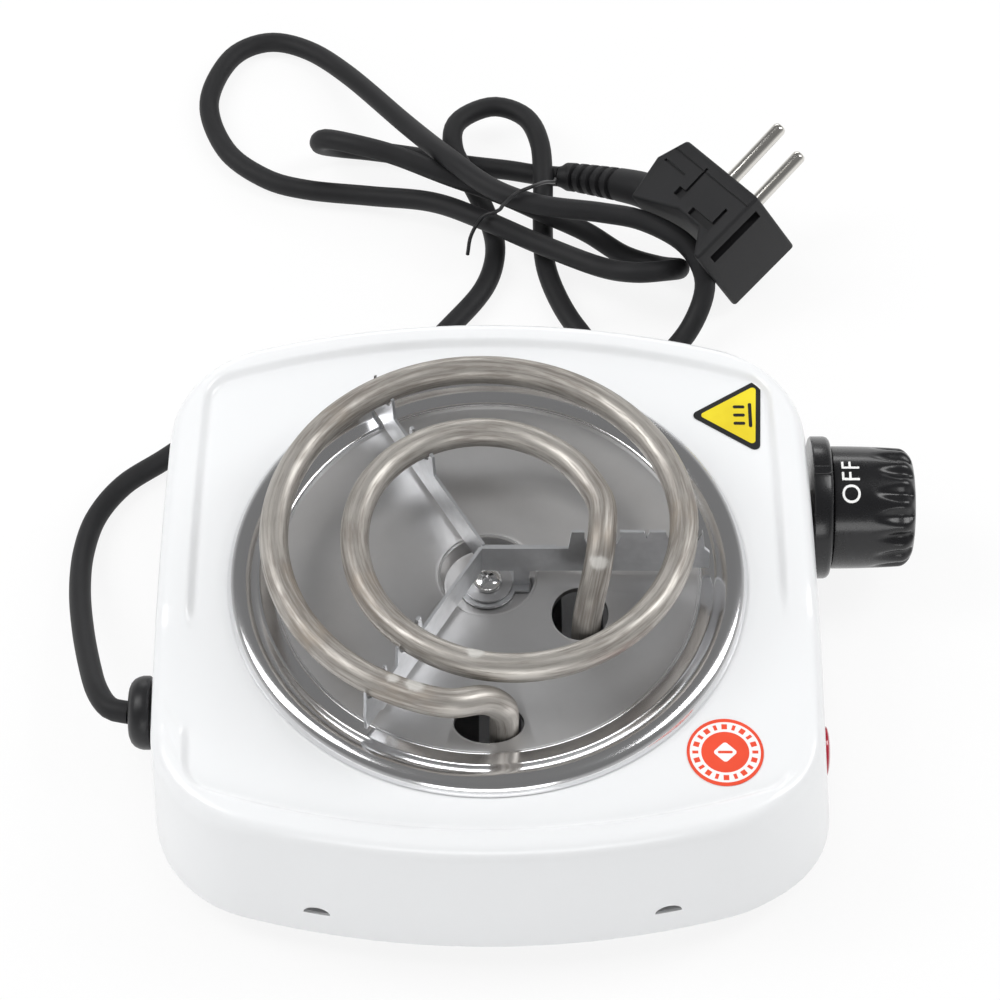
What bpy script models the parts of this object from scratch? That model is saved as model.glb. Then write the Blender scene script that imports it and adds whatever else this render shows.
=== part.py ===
"""Single hot plate burner: pressed shell, drip pan, tubular coil, thermostat, cord and plug.

Built about the drip pan's axis, feet at z = 0, +Z up. Everything hangs on one empty that
moves the model so that its footprint is centred on the origin.
"""

import math

import bmesh
import bpy
from mathutils import Matrix, Vector

mm = 0.001

# ---------------------------------------------------------------- driving sizes
gap = 0.3 * mm  # between pieces that touch

# shell
shell_half_x = 92.5 * mm  # half the width at the top edge
shell_half_y = 91.5 * mm  # half the depth at the top edge
shell_side_r = 1600 * mm  # bow of the left and right sides
shell_front_r = 245 * mm  # bow of the front and rear
shell_corner_r = 34 * mm
shell_flare = 1.6 * mm  # how much wider the skirt is at its foot
shell_sheet = 0.8 * mm
skirt_z = 9.5 * mm  # lower edge of the skirt
panel_z = 54 * mm  # recessed top panel
frame_raise = 2 * mm  # raised border round the panel
frame_width = 6.3 * mm
frame_slope = 3.2 * mm
edge_fillet = 4 * mm
frame_corner_r = 26 * mm  # the border's foot turns tighter than the shell
panel_hole_r = 58 * mm  # opening in the panel under the pan
slot_x = (-46.5 * mm, 49.5 * mm)  # half-moon slots low on the front
slot_z = 20.5 * mm
slot_r = 3.6 * mm

# drip pan
pan_rim_r = 72.8 * mm
pan_bead = 8.8 * mm  # width of the rolled rim
pan_bead_rise = 3.5 * mm
pan_ledge = 3.6 * mm
pan_sheet = 0.5 * mm
pan_floor_drop = 1.3 * mm  # floor below the ledge
pan_well_r = 13.8 * mm
pan_well_depth = 5.5 * mm
hole_1 = (0.5 * mm, -49.4 * mm, 9.6 * mm, 6.5 * mm)  # x, y, half width, half length
hole_2 = (25.7 * mm, -13.4 * mm, 7.9 * mm, 8.8 * mm)

# heating coil
coil_r = 4 * mm  # tube radius
coil_lift = 20 * mm  # tube's centre above the panel
coil_x = -1.8 * mm
coil_y = 0.8 * mm
coil_inner = 34.6 * mm
coil_outer = 57 * mm
coil_step = (172, 388)  # degrees over which the inner turn opens to the outer one
coil_span = (14, 612)
coil_leg_z = 34 * mm  # lower end of both legs

# coil support
strip = 0.9 * mm
strip_rise = 10.5 * mm  # height of the plain strip
strip_lift = 3 * mm  # its lower edge above the panel
notch_gap = 0.9 * mm  # room for the tube in its notches
hub_x = -1.8 * mm  # where the arms meet
hub_y = 0.1 * mm
tab_rise = 1.2 * mm  # tabs above the tube's centre
eye_r = 8.2 * mm

# clamp
screw_r = 2 * mm
screw_head_r = 4 * mm
washer_r = 7 * mm
washer_t = 0.7 * mm
bridge_t = 1.2 * mm
bridge_w = 14 * mm
bridge_angle = 120  # degrees, keeps clear of both legs
nut_r = 3.9 * mm
nut_t = 3.2 * mm
pin_r = 1.4 * mm  # connection pins of the tube
pin_reach = 5 * mm
bead_r = 3.4 * mm
bead_t = 5 * mm

# base
cover_sheet = 0.8 * mm
cover_z = 12.3 * mm
cover_lip = 6 * mm
foot_r = 8 * mm
foot_x = 64 * mm
foot_y = 60 * mm
foot_stem_r = 3 * mm
cover_screw_x = (-50 * mm, 50 * mm)
cover_screw_z = 15.5 * mm
cover_screw_r = 1.5 * mm
cover_screw_head = 2.8 * mm
vent_count = 7
vent_pitch = 12 * mm
vent_w = 5 * mm
vent_length = 60 * mm

# knob and thermostat, on the axis through (knob_y, knob_z) along +X
knob_y = 41.5 * mm
knob_z = 30 * mm
knob_r = 17.9 * mm
knob_length = 24 * mm
knob_flutes = 16
knob_wall = 2 * mm
knob_flute_depth = 1.3 * mm
collar_r = 20.8 * mm
collar_t = 5.1 * mm
spindle_r = 3 * mm
spindle_clear = 0.3 * mm
bush_r = 5 * mm
thermostat_w = 34 * mm
thermostat_d = 20 * mm
spindle_flat = 2.2 * mm  # from the axis to the flat
bracket_t = 1.5 * mm
push_r = 1.5 * mm

# lamp and gland
lamp_y = -43 * mm
lamp_z = 30 * mm
lamp_r = 7.2 * mm
lamp_stem_r = 5.5 * mm
gland_y = -30 * mm
gland_z = 30 * mm
gland_r = 10.4 * mm
gland_t = 6.8 * mm
gland_stem_r = 8 * mm
core_bundle_r = 3.4 * mm  # bore that the cord's cores pass
core_r = 1 * mm
lead_r = 1.2 * mm
block_at = (-60 * mm, -44 * mm)  # low corner of the terminal block
earth_at = (-70 * mm, -48 * mm)
label_t = 0.15 * mm
round_label_r = 10.7 * mm

# cord and plug
cord_r = 3.25 * mm
tie_r = 0.6 * mm
plug_pin_r = 2.2 * mm
plug_pin_pitch = 19 * mm
plug_pin_length = 23 * mm
plug_at = (79.1 * mm, 163.9 * mm, 29.7 * mm)  # middle of the plug's face
plug_w = 34 * mm
plug_t = 35 * mm
plug_depth = 26.5 * mm
plug_cord_a = 17.5 * mm  # middle of the cord side, behind the face

# ---------------------------------------------------------------- small helpers


def material(name, colour, rough, metal=0.0):
    """One Principled material."""
    made = bpy.data.materials.get(name) or bpy.data.materials.new(name)
    made.use_nodes = True
    shader = made.node_tree.nodes["Principled BSDF"]
    shader.inputs["Base Color"].default_value = (*colour, 1)
    shader.inputs["Roughness"].default_value = rough
    shader.inputs["Metallic"].default_value = metal
    return made

def finish(name, mesh, mat, sharp=40):
    """Object from a bmesh, faces turned out, smooth but for sharp edges."""
    bmesh.ops.recalc_face_normals(mesh, faces=mesh.faces)
    data = bpy.data.meshes.new(name)
    mesh.to_mesh(data)
    mesh.free()
    data.materials.append(mat)
    data.shade_smooth()
    data.set_sharp_from_angle(angle=math.radians(sharp))
    made = bpy.data.objects.new(name, data)
    bpy.context.scene.collection.objects.link(made)
    made.parent = model
    return made


def loft(name, rings, mat, wrap=False, sharp=40):
    """Skin over rings of equal count; a ring of one point is a pole, open ends are capped."""
    mesh = bmesh.new()
    loops = [[mesh.verts.new(p) for p in ring] for ring in rings]
    pairs = list(zip(loops, loops[1:] + loops[:1])) if wrap else list(zip(loops, loops[1:]))
    for low, high in pairs:
        count = max(len(low), len(high))
        for i in range(count):
            j = (i + 1) % count
            corners = [low[i % len(low)], low[j % len(low)], high[j % len(high)], high[i % len(high)]]
            mesh.faces.new(list(dict.fromkeys(corners)))
    if not wrap:
        for end in (loops[0], loops[-1]):
            if len(end) > 2:
                mesh.faces.new(end)
    return finish(name, mesh, mat, sharp)


def circle(radius, count, z=0.0, x=0.0, y=0.0, ratio=1.0):
    turn = 2 * math.pi / count
    return [Vector((x + radius * math.cos(turn * i), y + radius * ratio * math.sin(turn * i), z))
            for i in range(count)]


def lathe(name, profile, mat, count=32, at=(0, 0), wrap=False, sharp=35):
    """Turned piece about a vertical axis; profile holds (radius, z)."""
    rings = [circle(r, count, z, *at) if r > 0 else [Vector((*at, z))] for r, z in profile]
    return loft(name, rings, mat, wrap, sharp)


def lathe_x(name, profile, mat, at, count=32, wrap=False, shape=None, sharp=35):
    """Turned piece about a line along +X through at = (y, z); profile holds (radius, x)."""
    rings = []
    for r, x in profile:
        if r > 0:
            turn = 2 * math.pi / count
            ring = []
            for i in range(count):
                reach = shape(r, turn * i, x) if shape else r
                ring.append(Vector((x, at[0] + reach * math.cos(turn * i), at[1] + reach * math.sin(turn * i))))
            rings.append(ring)
        else:
            rings.append([Vector((x, *at))])
    return loft(name, rings, mat, wrap, sharp)


def block(name, low, high, mat):
    """Plain rectangular piece between two corners."""
    ring = [(low[0], low[1]), (high[0], low[1]), (high[0], high[1]), (low[0], high[1])]
    return loft(name, [[Vector((*p, z)) for p in ring] for z in (low[2], high[2])], mat)


def sheet(name, outline, thick, place, mat):
    """Flat plate: a closed 2-D outline made thick both ways, then placed by a matrix."""
    rings = [[place @ Vector((u, v, side * thick / 2)) for u, v in outline] for side in (-1, 1)]
    return loft(name, rings, mat, sharp=20)


def smooth_route(points, step):
    """Evenly spaced points on a Catmull-Rom curve through the given ones."""
    points = [Vector(p) for p in points]
    ends = [2 * points[0] - points[1]] + points + [2 * points[-1] - points[-2]]
    fine = []
    for a, b, c, d in zip(ends, ends[1:], ends[2:], ends[3:]):
        for i in range(24):
            t = i / 24
            fine.append(0.5 * (2 * b + (c - a) * t + (2 * a - 5 * b + 4 * c - d) * t * t
                               + (3 * b - a - 3 * c + d) * t ** 3))
    fine.append(points[-1])
    run = [0.0]
    for a, b in zip(fine, fine[1:]):
        run.append(run[-1] + (b - a).length)
    count = max(2, round(run[-1] / step))
    even = []
    k = 0
    for i in range(count + 1):
        want = run[-1] * i / count
        while k < len(run) - 2 and run[k + 1] < want:
            k += 1
        share = (want - run[k]) / (run[k + 1] - run[k])
        even.append(fine[k].lerp(fine[k + 1], min(1, max(0, share))))
    return even


def wire(name, route, radius, mat, step=None, roundness=2):
    """Round cord, lead or tube along a route, a curve object with filled caps."""
    points = smooth_route(route, step) if step else [Vector(p) for p in route]
    data = bpy.data.curves.new(name, "CURVE")
    data.dimensions = "3D"
    data.bevel_depth = radius
    data.bevel_resolution = roundness
    data.use_fill_caps = True
    spline = data.splines.new("POLY")
    spline.points.add(len(points) - 1)
    for slot, p in zip(spline.points, points):
        slot.co = (*p, 1)
    data.materials.append(mat)
    made = bpy.data.objects.new(name, data)
    bpy.context.scene.collection.objects.link(made)
    made.parent = model
    return made


def cut(target, cutter):
    """Exact difference; the cutter stays as a hidden wire."""
    cutter.hide_render = True
    cutter.display_type = "WIRE"
    step = target.modifiers.new(cutter.name, "BOOLEAN")
    step.operation = "DIFFERENCE"
    step.solver = "EXACT"
    step.object = cutter


def drill(target, name, radius, start, end, count=20):
    """Straight round cut from start to end."""
    start, end = Vector(start), Vector(end)
    place = (end - start).to_track_quat("Z", "Y").to_matrix()
    rings = [[p + place @ c for c in circle(radius, count)] for p in (start, end)]
    cut(target, loft(f"cutter_{name}", rings, tool_mat))


# ---------------------------------------------------------------- shell outline


def corner_of(half, radius):
    """Centre of the corner arc and its two tangent angles, first quadrant."""
    side = Vector((half[0] - shell_side_r, 0))
    front = Vector((0, half[1] - shell_front_r))
    a, b = shell_side_r - radius, shell_front_r - radius
    span = (front - side).length
    along = (a * a - b * b + span * span) / (2 * span)
    rise = math.sqrt(a * a - along * along)
    axis = (front - side) / span
    centre = side + axis * along + Vector((-axis.y, axis.x)) * rise
    if centre.y < 0:
        centre = side + axis * along - Vector((-axis.y, axis.x)) * rise
    first = math.atan2(centre.y, centre.x - side.x)
    second = math.atan2(centre.y - front.y, centre.x)
    return side, front, centre, first, second


def outline(offset, z, corner_r=shell_corner_r):
    """Shell outline grown by offset, counter-clockwise, as points at height z."""
    side, front, centre, first, second = corner_of((shell_half_x, shell_half_y), corner_r)
    quarter = []
    for i in range(2):
        angle = first * i / 2
        quarter.append(side + (shell_side_r + offset) * Vector((math.cos(angle), math.sin(angle))))
    for i in range(5):
        angle = first + (second - first) * i / 5
        quarter.append(centre + (corner_r + offset) * Vector((math.cos(angle), math.sin(angle))))
    for i in range(4):
        angle = second + (math.pi / 2 - second) * i / 3
        quarter.append(front + (shell_front_r + offset) * Vector((math.cos(angle), math.sin(angle))))
    left = [Vector((-p.x, p.y)) for p in reversed(quarter[:-1])]
    upper = quarter + left
    lower = [Vector((p.x, -p.y)) for p in reversed(upper[1:-1])]
    return [Vector((p.x, p.y, z)) for p in upper + lower]


def wall_x(y, z):
    """Half width of the outer wall at a place on the left or right side."""
    share = (panel_z - z) / (panel_z - skirt_z)
    reach = shell_half_x - shell_side_r + math.sqrt(shell_side_r ** 2 - y * y)
    return reach + shell_flare * max(0, share)


# ---------------------------------------------------------------- shell, base and feet
def housing():
    """Pressed shell: skirt, wall, raised border, recessed panel open under the pan."""
    top = panel_z + frame_raise

    def skin(inset):
        rings = []
        rings.append(outline(shell_flare - inset, skirt_z))
        rings.append(outline(-inset, top - edge_fillet))
        for angle in (30, 60, 90):
            turn = math.radians(angle)
            run = edge_fillet * (1 - math.cos(turn))
            rise = edge_fillet * math.sin(turn)
            rings.append(outline(-run - inset * math.cos(turn), top - edge_fillet + rise - inset * math.sin(turn)))
        rings.append(outline(-frame_width, top - inset))
        rings.append(outline(-frame_width - frame_slope, panel_z - inset, frame_corner_r))
        return rings

    outer = skin(0)
    inner = skin(shell_sheet)
    hole = []
    for level in (panel_z, panel_z - shell_sheet):
        rim = outline(0, level)
        hole.append([Vector((p.x, p.y, 0)).normalized() * panel_hole_r + Vector((0, 0, level)) for p in rim])
    shell = loft("housing", outer + hole + list(reversed(inner)), paint, wrap=True, sharp=50)
    clear = 0.3 * mm
    drill(shell, "gland_way", gland_stem_r + clear, (-110 * mm, gland_y, gland_z), (-80 * mm, gland_y, gland_z))
    drill(shell, "bush_way", bush_r + clear, (80 * mm, knob_y, knob_z), (110 * mm, knob_y, knob_z))
    drill(shell, "lamp_way", lamp_stem_r + clear, (80 * mm, lamp_y, lamp_z), (110 * mm, lamp_y, lamp_z))
    for i, x in enumerate(slot_x):
        drill(shell, f"slot_way_{i + 1}", slot_r, (x, -100 * mm, slot_z), (x, -84 * mm, slot_z), 12)
    for i, x in enumerate(cover_screw_x):
        drill(shell, f"screw_way_{i + 1}", cover_screw_r + clear, (x, 84 * mm, cover_screw_z),
              (x, 100 * mm, cover_screw_z), 12)
    return shell


def bottom_cover():
    """Pressed tray that closes the shell from below."""
    reach = -shell_sheet - gap
    lip = cover_z + cover_lip
    rings = [outline(reach, lip), outline(reach, cover_z), outline(reach - cover_sheet, cover_z + cover_sheet),
             outline(reach - cover_sheet, lip)]
    mesh = bmesh.new()
    loops = [[mesh.verts.new(p) for p in ring] for ring in rings]
    for low, high in ((loops[0], loops[1]), (loops[2], loops[3]), (loops[3], loops[0])):
        for i in range(len(low)):
            j = (i + 1) % len(low)
            mesh.faces.new([low[i], low[j], high[j], high[i]])
    mesh.faces.new(loops[1])
    mesh.faces.new(loops[2])
    cover = finish("bottom_cover", mesh, steel, 30)
    for x in (-foot_x, foot_x):
        for y in (-foot_y, foot_y):
            drill(cover, f"foot_way_{x > 0}_{y > 0}", foot_stem_r + 0.3 * mm, (x, y, cover_z - 5 * mm),
                  (x, y, cover_z + 5 * mm), 16)
    for i in range(vent_count):
        x = (i - (vent_count - 1) / 2) * vent_pitch
        low = (x - vent_w / 2, -vent_length / 2, cover_z - 3 * mm)
        high = (x + vent_w / 2, vent_length / 2, cover_z + 3 * mm)
        cut(cover, block(f"cutter_vent_{i + 1}", low, high, tool_mat))
    for i, x in enumerate(cover_screw_x):
        drill(cover, f"cover_hole_{i + 1}", cover_screw_r + 0.15 * mm, (x, 80 * mm, cover_screw_z),
              (x, 100 * mm, cover_screw_z), 12)
    return cover


def feet():
    """Mushroom feet pushed through the tray, one at each corner."""
    for name, x, y in (("foot_front_left", -1, -1), ("foot_front_right", 1, -1),
                       ("foot_rear_left", -1, 1), ("foot_rear_right", 1, 1)):
        top = cover_z - gap
        above = cover_z + cover_sheet + gap
        profile = [(0, 0), (foot_r - 1 * mm, 0), (foot_r, 1 * mm), (foot_r - 1 * mm, top), (foot_stem_r, top),
                   (foot_stem_r, above), (foot_stem_r + 1.2 * mm, above), (foot_stem_r, above + 2.5 * mm),
                   (0, above + 2.5 * mm)]
        lathe(name, profile, rubber, 20, (x * foot_x, y * foot_y))


def cover_screws():
    """Two screws through the rear wall into the tray's lip."""
    for i, x in enumerate(cover_screw_x):
        wall = shell_half_y - shell_front_r + math.sqrt((shell_front_r) ** 2 - x * x)
        share = (panel_z + frame_raise - edge_fillet - cover_screw_z) / (panel_z + frame_raise - edge_fillet - skirt_z)
        face = wall + shell_flare * share + gap + cover_screw_head * abs(x) / shell_front_r
        rings = []
        for radius, y in ((cover_screw_r, face - 8 * mm), (cover_screw_r, face), (cover_screw_head, face),
                          (cover_screw_head, face + 1.2 * mm), (cover_screw_head * 0.6, face + 1.8 * mm)):
            rings.append([Vector((x + p.x, y, cover_screw_z - p.y)) for p in circle(radius, 12)])
        loft(f"cover_screw_{i + 1}", rings, steel)


# ---------------------------------------------------------------- pan and coil
def pan_profile():
    """Upper side of the drip pan from the rim to the screw hole, as (radius, height over panel)."""
    crown = pan_rim_r - pan_bead / 2
    rim = []
    for i in range(7):
        angle = math.radians(180 * i / 6)
        rim.append((crown + pan_bead / 2 * math.cos(angle),
                    0.8 * mm + pan_bead_rise * math.sin(angle)))
    ledge = 2 * mm
    rim.append((rim[-1][0] - 0.8 * mm, ledge))
    rim.append((rim[-1][0] - pan_ledge + 0.8 * mm, ledge))
    floor = ledge - pan_floor_drop
    rim.append((rim[-1][0] - 1.2 * mm, floor))
    rim.append((pan_well_r, floor))
    rim.append((pan_well_r - 1.6 * mm, floor - pan_well_depth))
    return rim


def pan_floor_z():
    return panel_z + 2 * mm - pan_floor_drop


def well_z():
    return pan_floor_z() - pan_well_depth


def drip_pan():
    """Spun pan with a rolled rim, two holes for the coil's legs and a centre well."""
    upper = [(r, panel_z + h) for r, h in pan_profile()]
    upper[0] = (upper[0][0], panel_z + gap)
    hole = screw_r + 0.3 * mm
    upper.append((hole, well_z()))
    lower = [(hole, well_z() - pan_sheet), (pan_well_r - 1.6 * mm - pan_sheet * 0.5, well_z() - pan_sheet),
             (pan_well_r - pan_sheet * 0.8, pan_floor_z() - pan_sheet), (upper[-4][0] - 0.2 * mm, pan_floor_z() - pan_sheet)]
    crown = pan_rim_r - pan_bead / 2
    inner = pan_bead / 2 - pan_sheet
    for i in range(7):
        angle = math.radians(180 - 180 * i / 6)
        z = panel_z + 0.8 * mm - pan_sheet * 0.3 + (pan_bead_rise - pan_sheet * 0.7) * math.sin(angle)
        lower.append((crown + inner * math.cos(angle), z))
    lower[4] = (lower[4][0], panel_z + 2 * mm - pan_sheet)
    lower[-1] = (lower[-1][0], panel_z + gap)
    pan = lathe("drip_pan", upper + lower, chrome, 40, wrap=True, sharp=50)
    for i, (x, y, wide, long) in enumerate((hole_1, hole_2)):
        rings = [circle(wide, 20, z, x, y, long / wide) for z in (well_z(), panel_z + 8 * mm)]
        cut(pan, loft(f"cutter_leg_way_{i + 1}", rings, tool_mat))
    return pan


def coil_point(angle):
    """Point of the coil's flat spiral at an angle in degrees."""
    share = (angle - coil_step[0]) / (coil_step[1] - coil_step[0])
    share = min(1, max(0, share))
    radius = coil_inner + (coil_outer - coil_inner) * share * share * (3 - 2 * share)
    turn = math.radians(angle)
    return Vector((coil_x + radius * math.cos(turn), coil_y + radius * math.sin(turn), panel_z + coil_lift))


def coil_route():
    """Inner leg up through the pan, the flat spiral, and the outer leg down again."""
    top = panel_z + coil_lift
    inner_leg = [(27.3 * mm, -16 * mm, coil_leg_z), (27.3 * mm, -16 * mm, 44 * mm), (27.5 * mm, -15.8 * mm, panel_z),
                 (28.5 * mm, -13.5 * mm, panel_z + 8 * mm), (30.3 * mm, -8 * mm, top - 5.5 * mm),
                 (31.5 * mm, -1 * mm, top - 1 * mm)]
    flat = [coil_point(a) for a in range(coil_span[0], coil_span[1] + 1, 13)]
    outer_leg = [(-9.8 * mm, -55.6 * mm, top), (-1 * mm, -52.5 * mm, top - 3 * mm), (3.6 * mm, -51.3 * mm, top - 8 * mm),
                 (4.6 * mm, -50.6 * mm, top - 13 * mm), (4.6 * mm, -50.4 * mm, panel_z), (4.6 * mm, -50.4 * mm, coil_leg_z)]
    return inner_leg, flat, outer_leg


def heating_coil():
    inner_leg, flat, outer_leg = coil_route()
    wire("heating_coil", inner_leg + flat + outer_leg, coil_r, tube_steel, step=7 * mm)


def crossings(angle):
    """Distances from the hub at which the spiral crosses an arm at this angle."""
    turn = math.radians(angle)
    along = Vector((math.cos(turn), math.sin(turn)))
    found = []
    for step in range(coil_span[0], coil_span[1]):
        a, b = (coil_point(step + k).xy - Vector((hub_x, hub_y)) for k in (0, 1))
        if a.dot(along) > 0 and along.cross(a) <= 0 < along.cross(b):
            found.append(a.dot(along))
    return sorted(found)


def arm_outline(stations, end):
    """Side view of one support arm from the hub out: (distance, height) with notches for the tube."""
    low = panel_z + strip_lift
    plain = low + strip_rise
    centre = panel_z + coil_lift
    tab = centre + tab_rise
    notch = coil_r + notch_gap
    upper = [(0, plain)]
    last = 0
    for start, middle, stop, drop in stations:
        if start - last < 2 * mm:
            upper[-1] = ((start + last) / 2, tab - 3 * mm)
        else:
            upper.append((start, plain))
        upper.append((start + 0.8 * mm, tab))
        upper.append((middle - notch, tab))
        for i in range(7):
            angle = math.radians(180 + 30 * i)
            upper.append((middle + notch * math.cos(angle), centre - drop + notch * math.sin(angle)))
        upper.append((middle + notch, tab))
        if stop > middle + notch + 1 * mm:
            upper.append((stop - 0.8 * mm, tab))
        upper.append((stop, plain))
        last = stop
    upper.append((end, plain - 2 * mm))
    upper.append((end, low + 1.5 * mm))
    upper.append((end - 7 * mm, low + 1.5 * mm))
    upper.append((end - 8.5 * mm, low))
    upper.append((0, low))
    return upper


def arm_plate(name, angle, stations, end, side=0.0, start=0.0):
    """One upright arm at an angle about the hub, moved sideways by side."""
    turn = math.radians(angle)
    along = Vector((math.cos(turn), math.sin(turn), 0))
    across = Vector((-along.y, along.x, 0))
    hub = Vector((hub_x, hub_y, 0))
    place = Matrix.Translation(hub + across * side) @ Matrix((
        (along.x, 0, across.x, 0), (along.y, 0, across.y, 0), (0, 1, 0, 0), (0, 0, 0, 1)))
    shape = [(max(start, u), v) for u, v in arm_outline(stations, end)]
    return sheet(name, shape, strip, place, support_steel)


def join(target, other):
    """Exact union with a piece of the same node."""
    other.hide_render = True
    other.display_type = "WIRE"
    step = target.modifiers.new(other.name, "BOOLEAN")
    step.operation = "UNION"
    step.solver = "EXACT"
    step.object = other


def coil_support():
    """Two bent strips that hold the coil: one with two arms and the eye plate, one rear arm."""
    def stations(angle, before, after, first=()):
        rows = [(s, 1.6 * mm) for s in first] + [(s, 0.0) for s in crossings(angle)]
        return [(s - before[i], s, s + after[i], drop) for i, (s, drop) in enumerate(rows)]

    main = arm_plate("coil_support_main", 240, stations(240, (7.2 * mm, 6.2 * mm), (6.2 * mm, 5.3 * mm)), 62 * mm)
    right = stations(0, (9.2 * mm, 10.1 * mm), (12.3 * mm, 6 * mm), [33.4 * mm])
    join(main, arm_plate("support_right_arm", 0, right, 63.4 * mm))
    low = panel_z + strip_lift
    eye_z = well_z() + gap
    leg_x = 9.5 * mm
    join(main, block("support_leg", (leg_x - 2.2 * mm, hub_y - strip / 2, eye_z),
                     (leg_x + 2.2 * mm, hub_y + strip / 2, low + 2 * mm), support_steel))
    eye = lathe("support_eye", [(screw_r + 0.3 * mm, eye_z), (eye_r, eye_z), (eye_r, eye_z + strip),
                                (screw_r + 0.3 * mm, eye_z + strip)], support_steel, 24, wrap=True)
    join(main, eye)
    join(main, block("support_ear", (eye_r - 1 * mm, -2.5 * mm, eye_z),
                     (leg_x + 2.2 * mm, 2.5 * mm, eye_z + strip), support_steel))
    rear_stations = stations(120, (7.2 * mm, 6.4 * mm), (7 * mm, 5.8 * mm))
    rear = arm_plate("coil_support_rear", 120, rear_stations, 65.4 * mm, side=-strip - gap, start=0.6 * mm)
    flange_low = low + 1 * mm
    flange_y = hub_y + strip / 2 + gap
    join(rear, block("support_flange", (-1.8 * mm, flange_y, flange_low),
                     (19 * mm, flange_y + strip, low + strip_rise - 1 * mm), support_steel))
    return main, rear


def clamp():
    """Centre screw, washer, bridge and nut that hold the support and pan to the panel."""
    eye_top = well_z() + gap + strip
    washer_z = eye_top + gap
    hole = screw_r + 0.3 * mm
    lathe("centre_washer", [(hole, washer_z), (washer_r, washer_z), (washer_r, washer_z + washer_t),
                            (hole, washer_z + washer_t)], steel, 24, wrap=True)
    head = washer_z + washer_t + gap
    bridge_top = well_z() - pan_sheet - gap - 2 * mm
    bridge_low = bridge_top - bridge_t
    nut_top = bridge_low - gap
    tip = nut_top - nut_t - 3 * mm
    lathe("centre_screw", [(0, tip), (screw_r, tip), (screw_r, head), (screw_head_r, head),
                           (screw_head_r * 0.85, head + 1.4 * mm), (screw_head_r * 0.4, head + 2.4 * mm),
                           (0, head + 2.5 * mm)], steel, 20)
    nut = loft("centre_nut", [circle(nut_r, 6, z) for z in (nut_top - nut_t, nut_top)], steel)
    drill(nut, "nut_way", hole, (0, 0, nut_top - nut_t - 1 * mm), (0, 0, nut_top + 1 * mm), 16)
    turn = math.radians(bridge_angle)
    rise_z = panel_z - shell_sheet - gap
    reach = panel_hole_r + 6 * mm
    drop = panel_hole_r - 8 * mm
    upper = [(-reach, rise_z), (-reach + 9 * mm, rise_z), (-drop, bridge_top), (drop, bridge_top),
             (reach - 9 * mm, rise_z), (reach, rise_z)]
    lower = [(u, v - bridge_t) for u, v in reversed(upper)]
    place = Matrix.Rotation(turn, 4, "Z") @ Matrix(((1, 0, 0, 0), (0, 0, 1, 0), (0, 1, 0, 0), (0, 0, 0, 1)))
    bridge = sheet("clamp_bridge", upper + lower, bridge_w, place, steel)
    drill(bridge, "bridge_way", hole, (0, 0, bridge_low - 3 * mm), (0, 0, bridge_top + 3 * mm), 16)


def coil_ends():
    """Ceramic bead and connection pin at each end of the tube."""
    for i, (x, y) in enumerate(((27.3 * mm, -16 * mm), (4.6 * mm, -50.4 * mm))):
        top = coil_leg_z - gap
        lathe(f"element_bead_{i + 1}", [(pin_r + gap, top - bead_t), (bead_r, top - bead_t), (bead_r, top),
                                        (pin_r + gap, top)], ceramic, 16, (x, y), wrap=True)
        lathe(f"element_pin_{i + 1}", [(0, top - bead_t - pin_reach), (pin_r, top - bead_t - pin_reach),
                                       (pin_r, top), (0, top)], steel, 10, (x, y))


# ---------------------------------------------------------------- thermostat and knob
def flat_side(radius, flat):
    """Radius limited on one side, for a D-shaped shaft or bore."""
    def shape(r, angle, x):
        if abs(r - radius) > 1e-6:
            return r
        down = -math.sin(angle)
        return min(r, flat / down) if down > 0.01 else r
    return shape


def plate_x():
    """Outer face of the thermostat's bracket, inside the tray's lip."""
    return wall_x(knob_y, knob_z) - shell_flare - shell_sheet - cover_sheet - 3 * gap - 2 * mm


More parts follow.
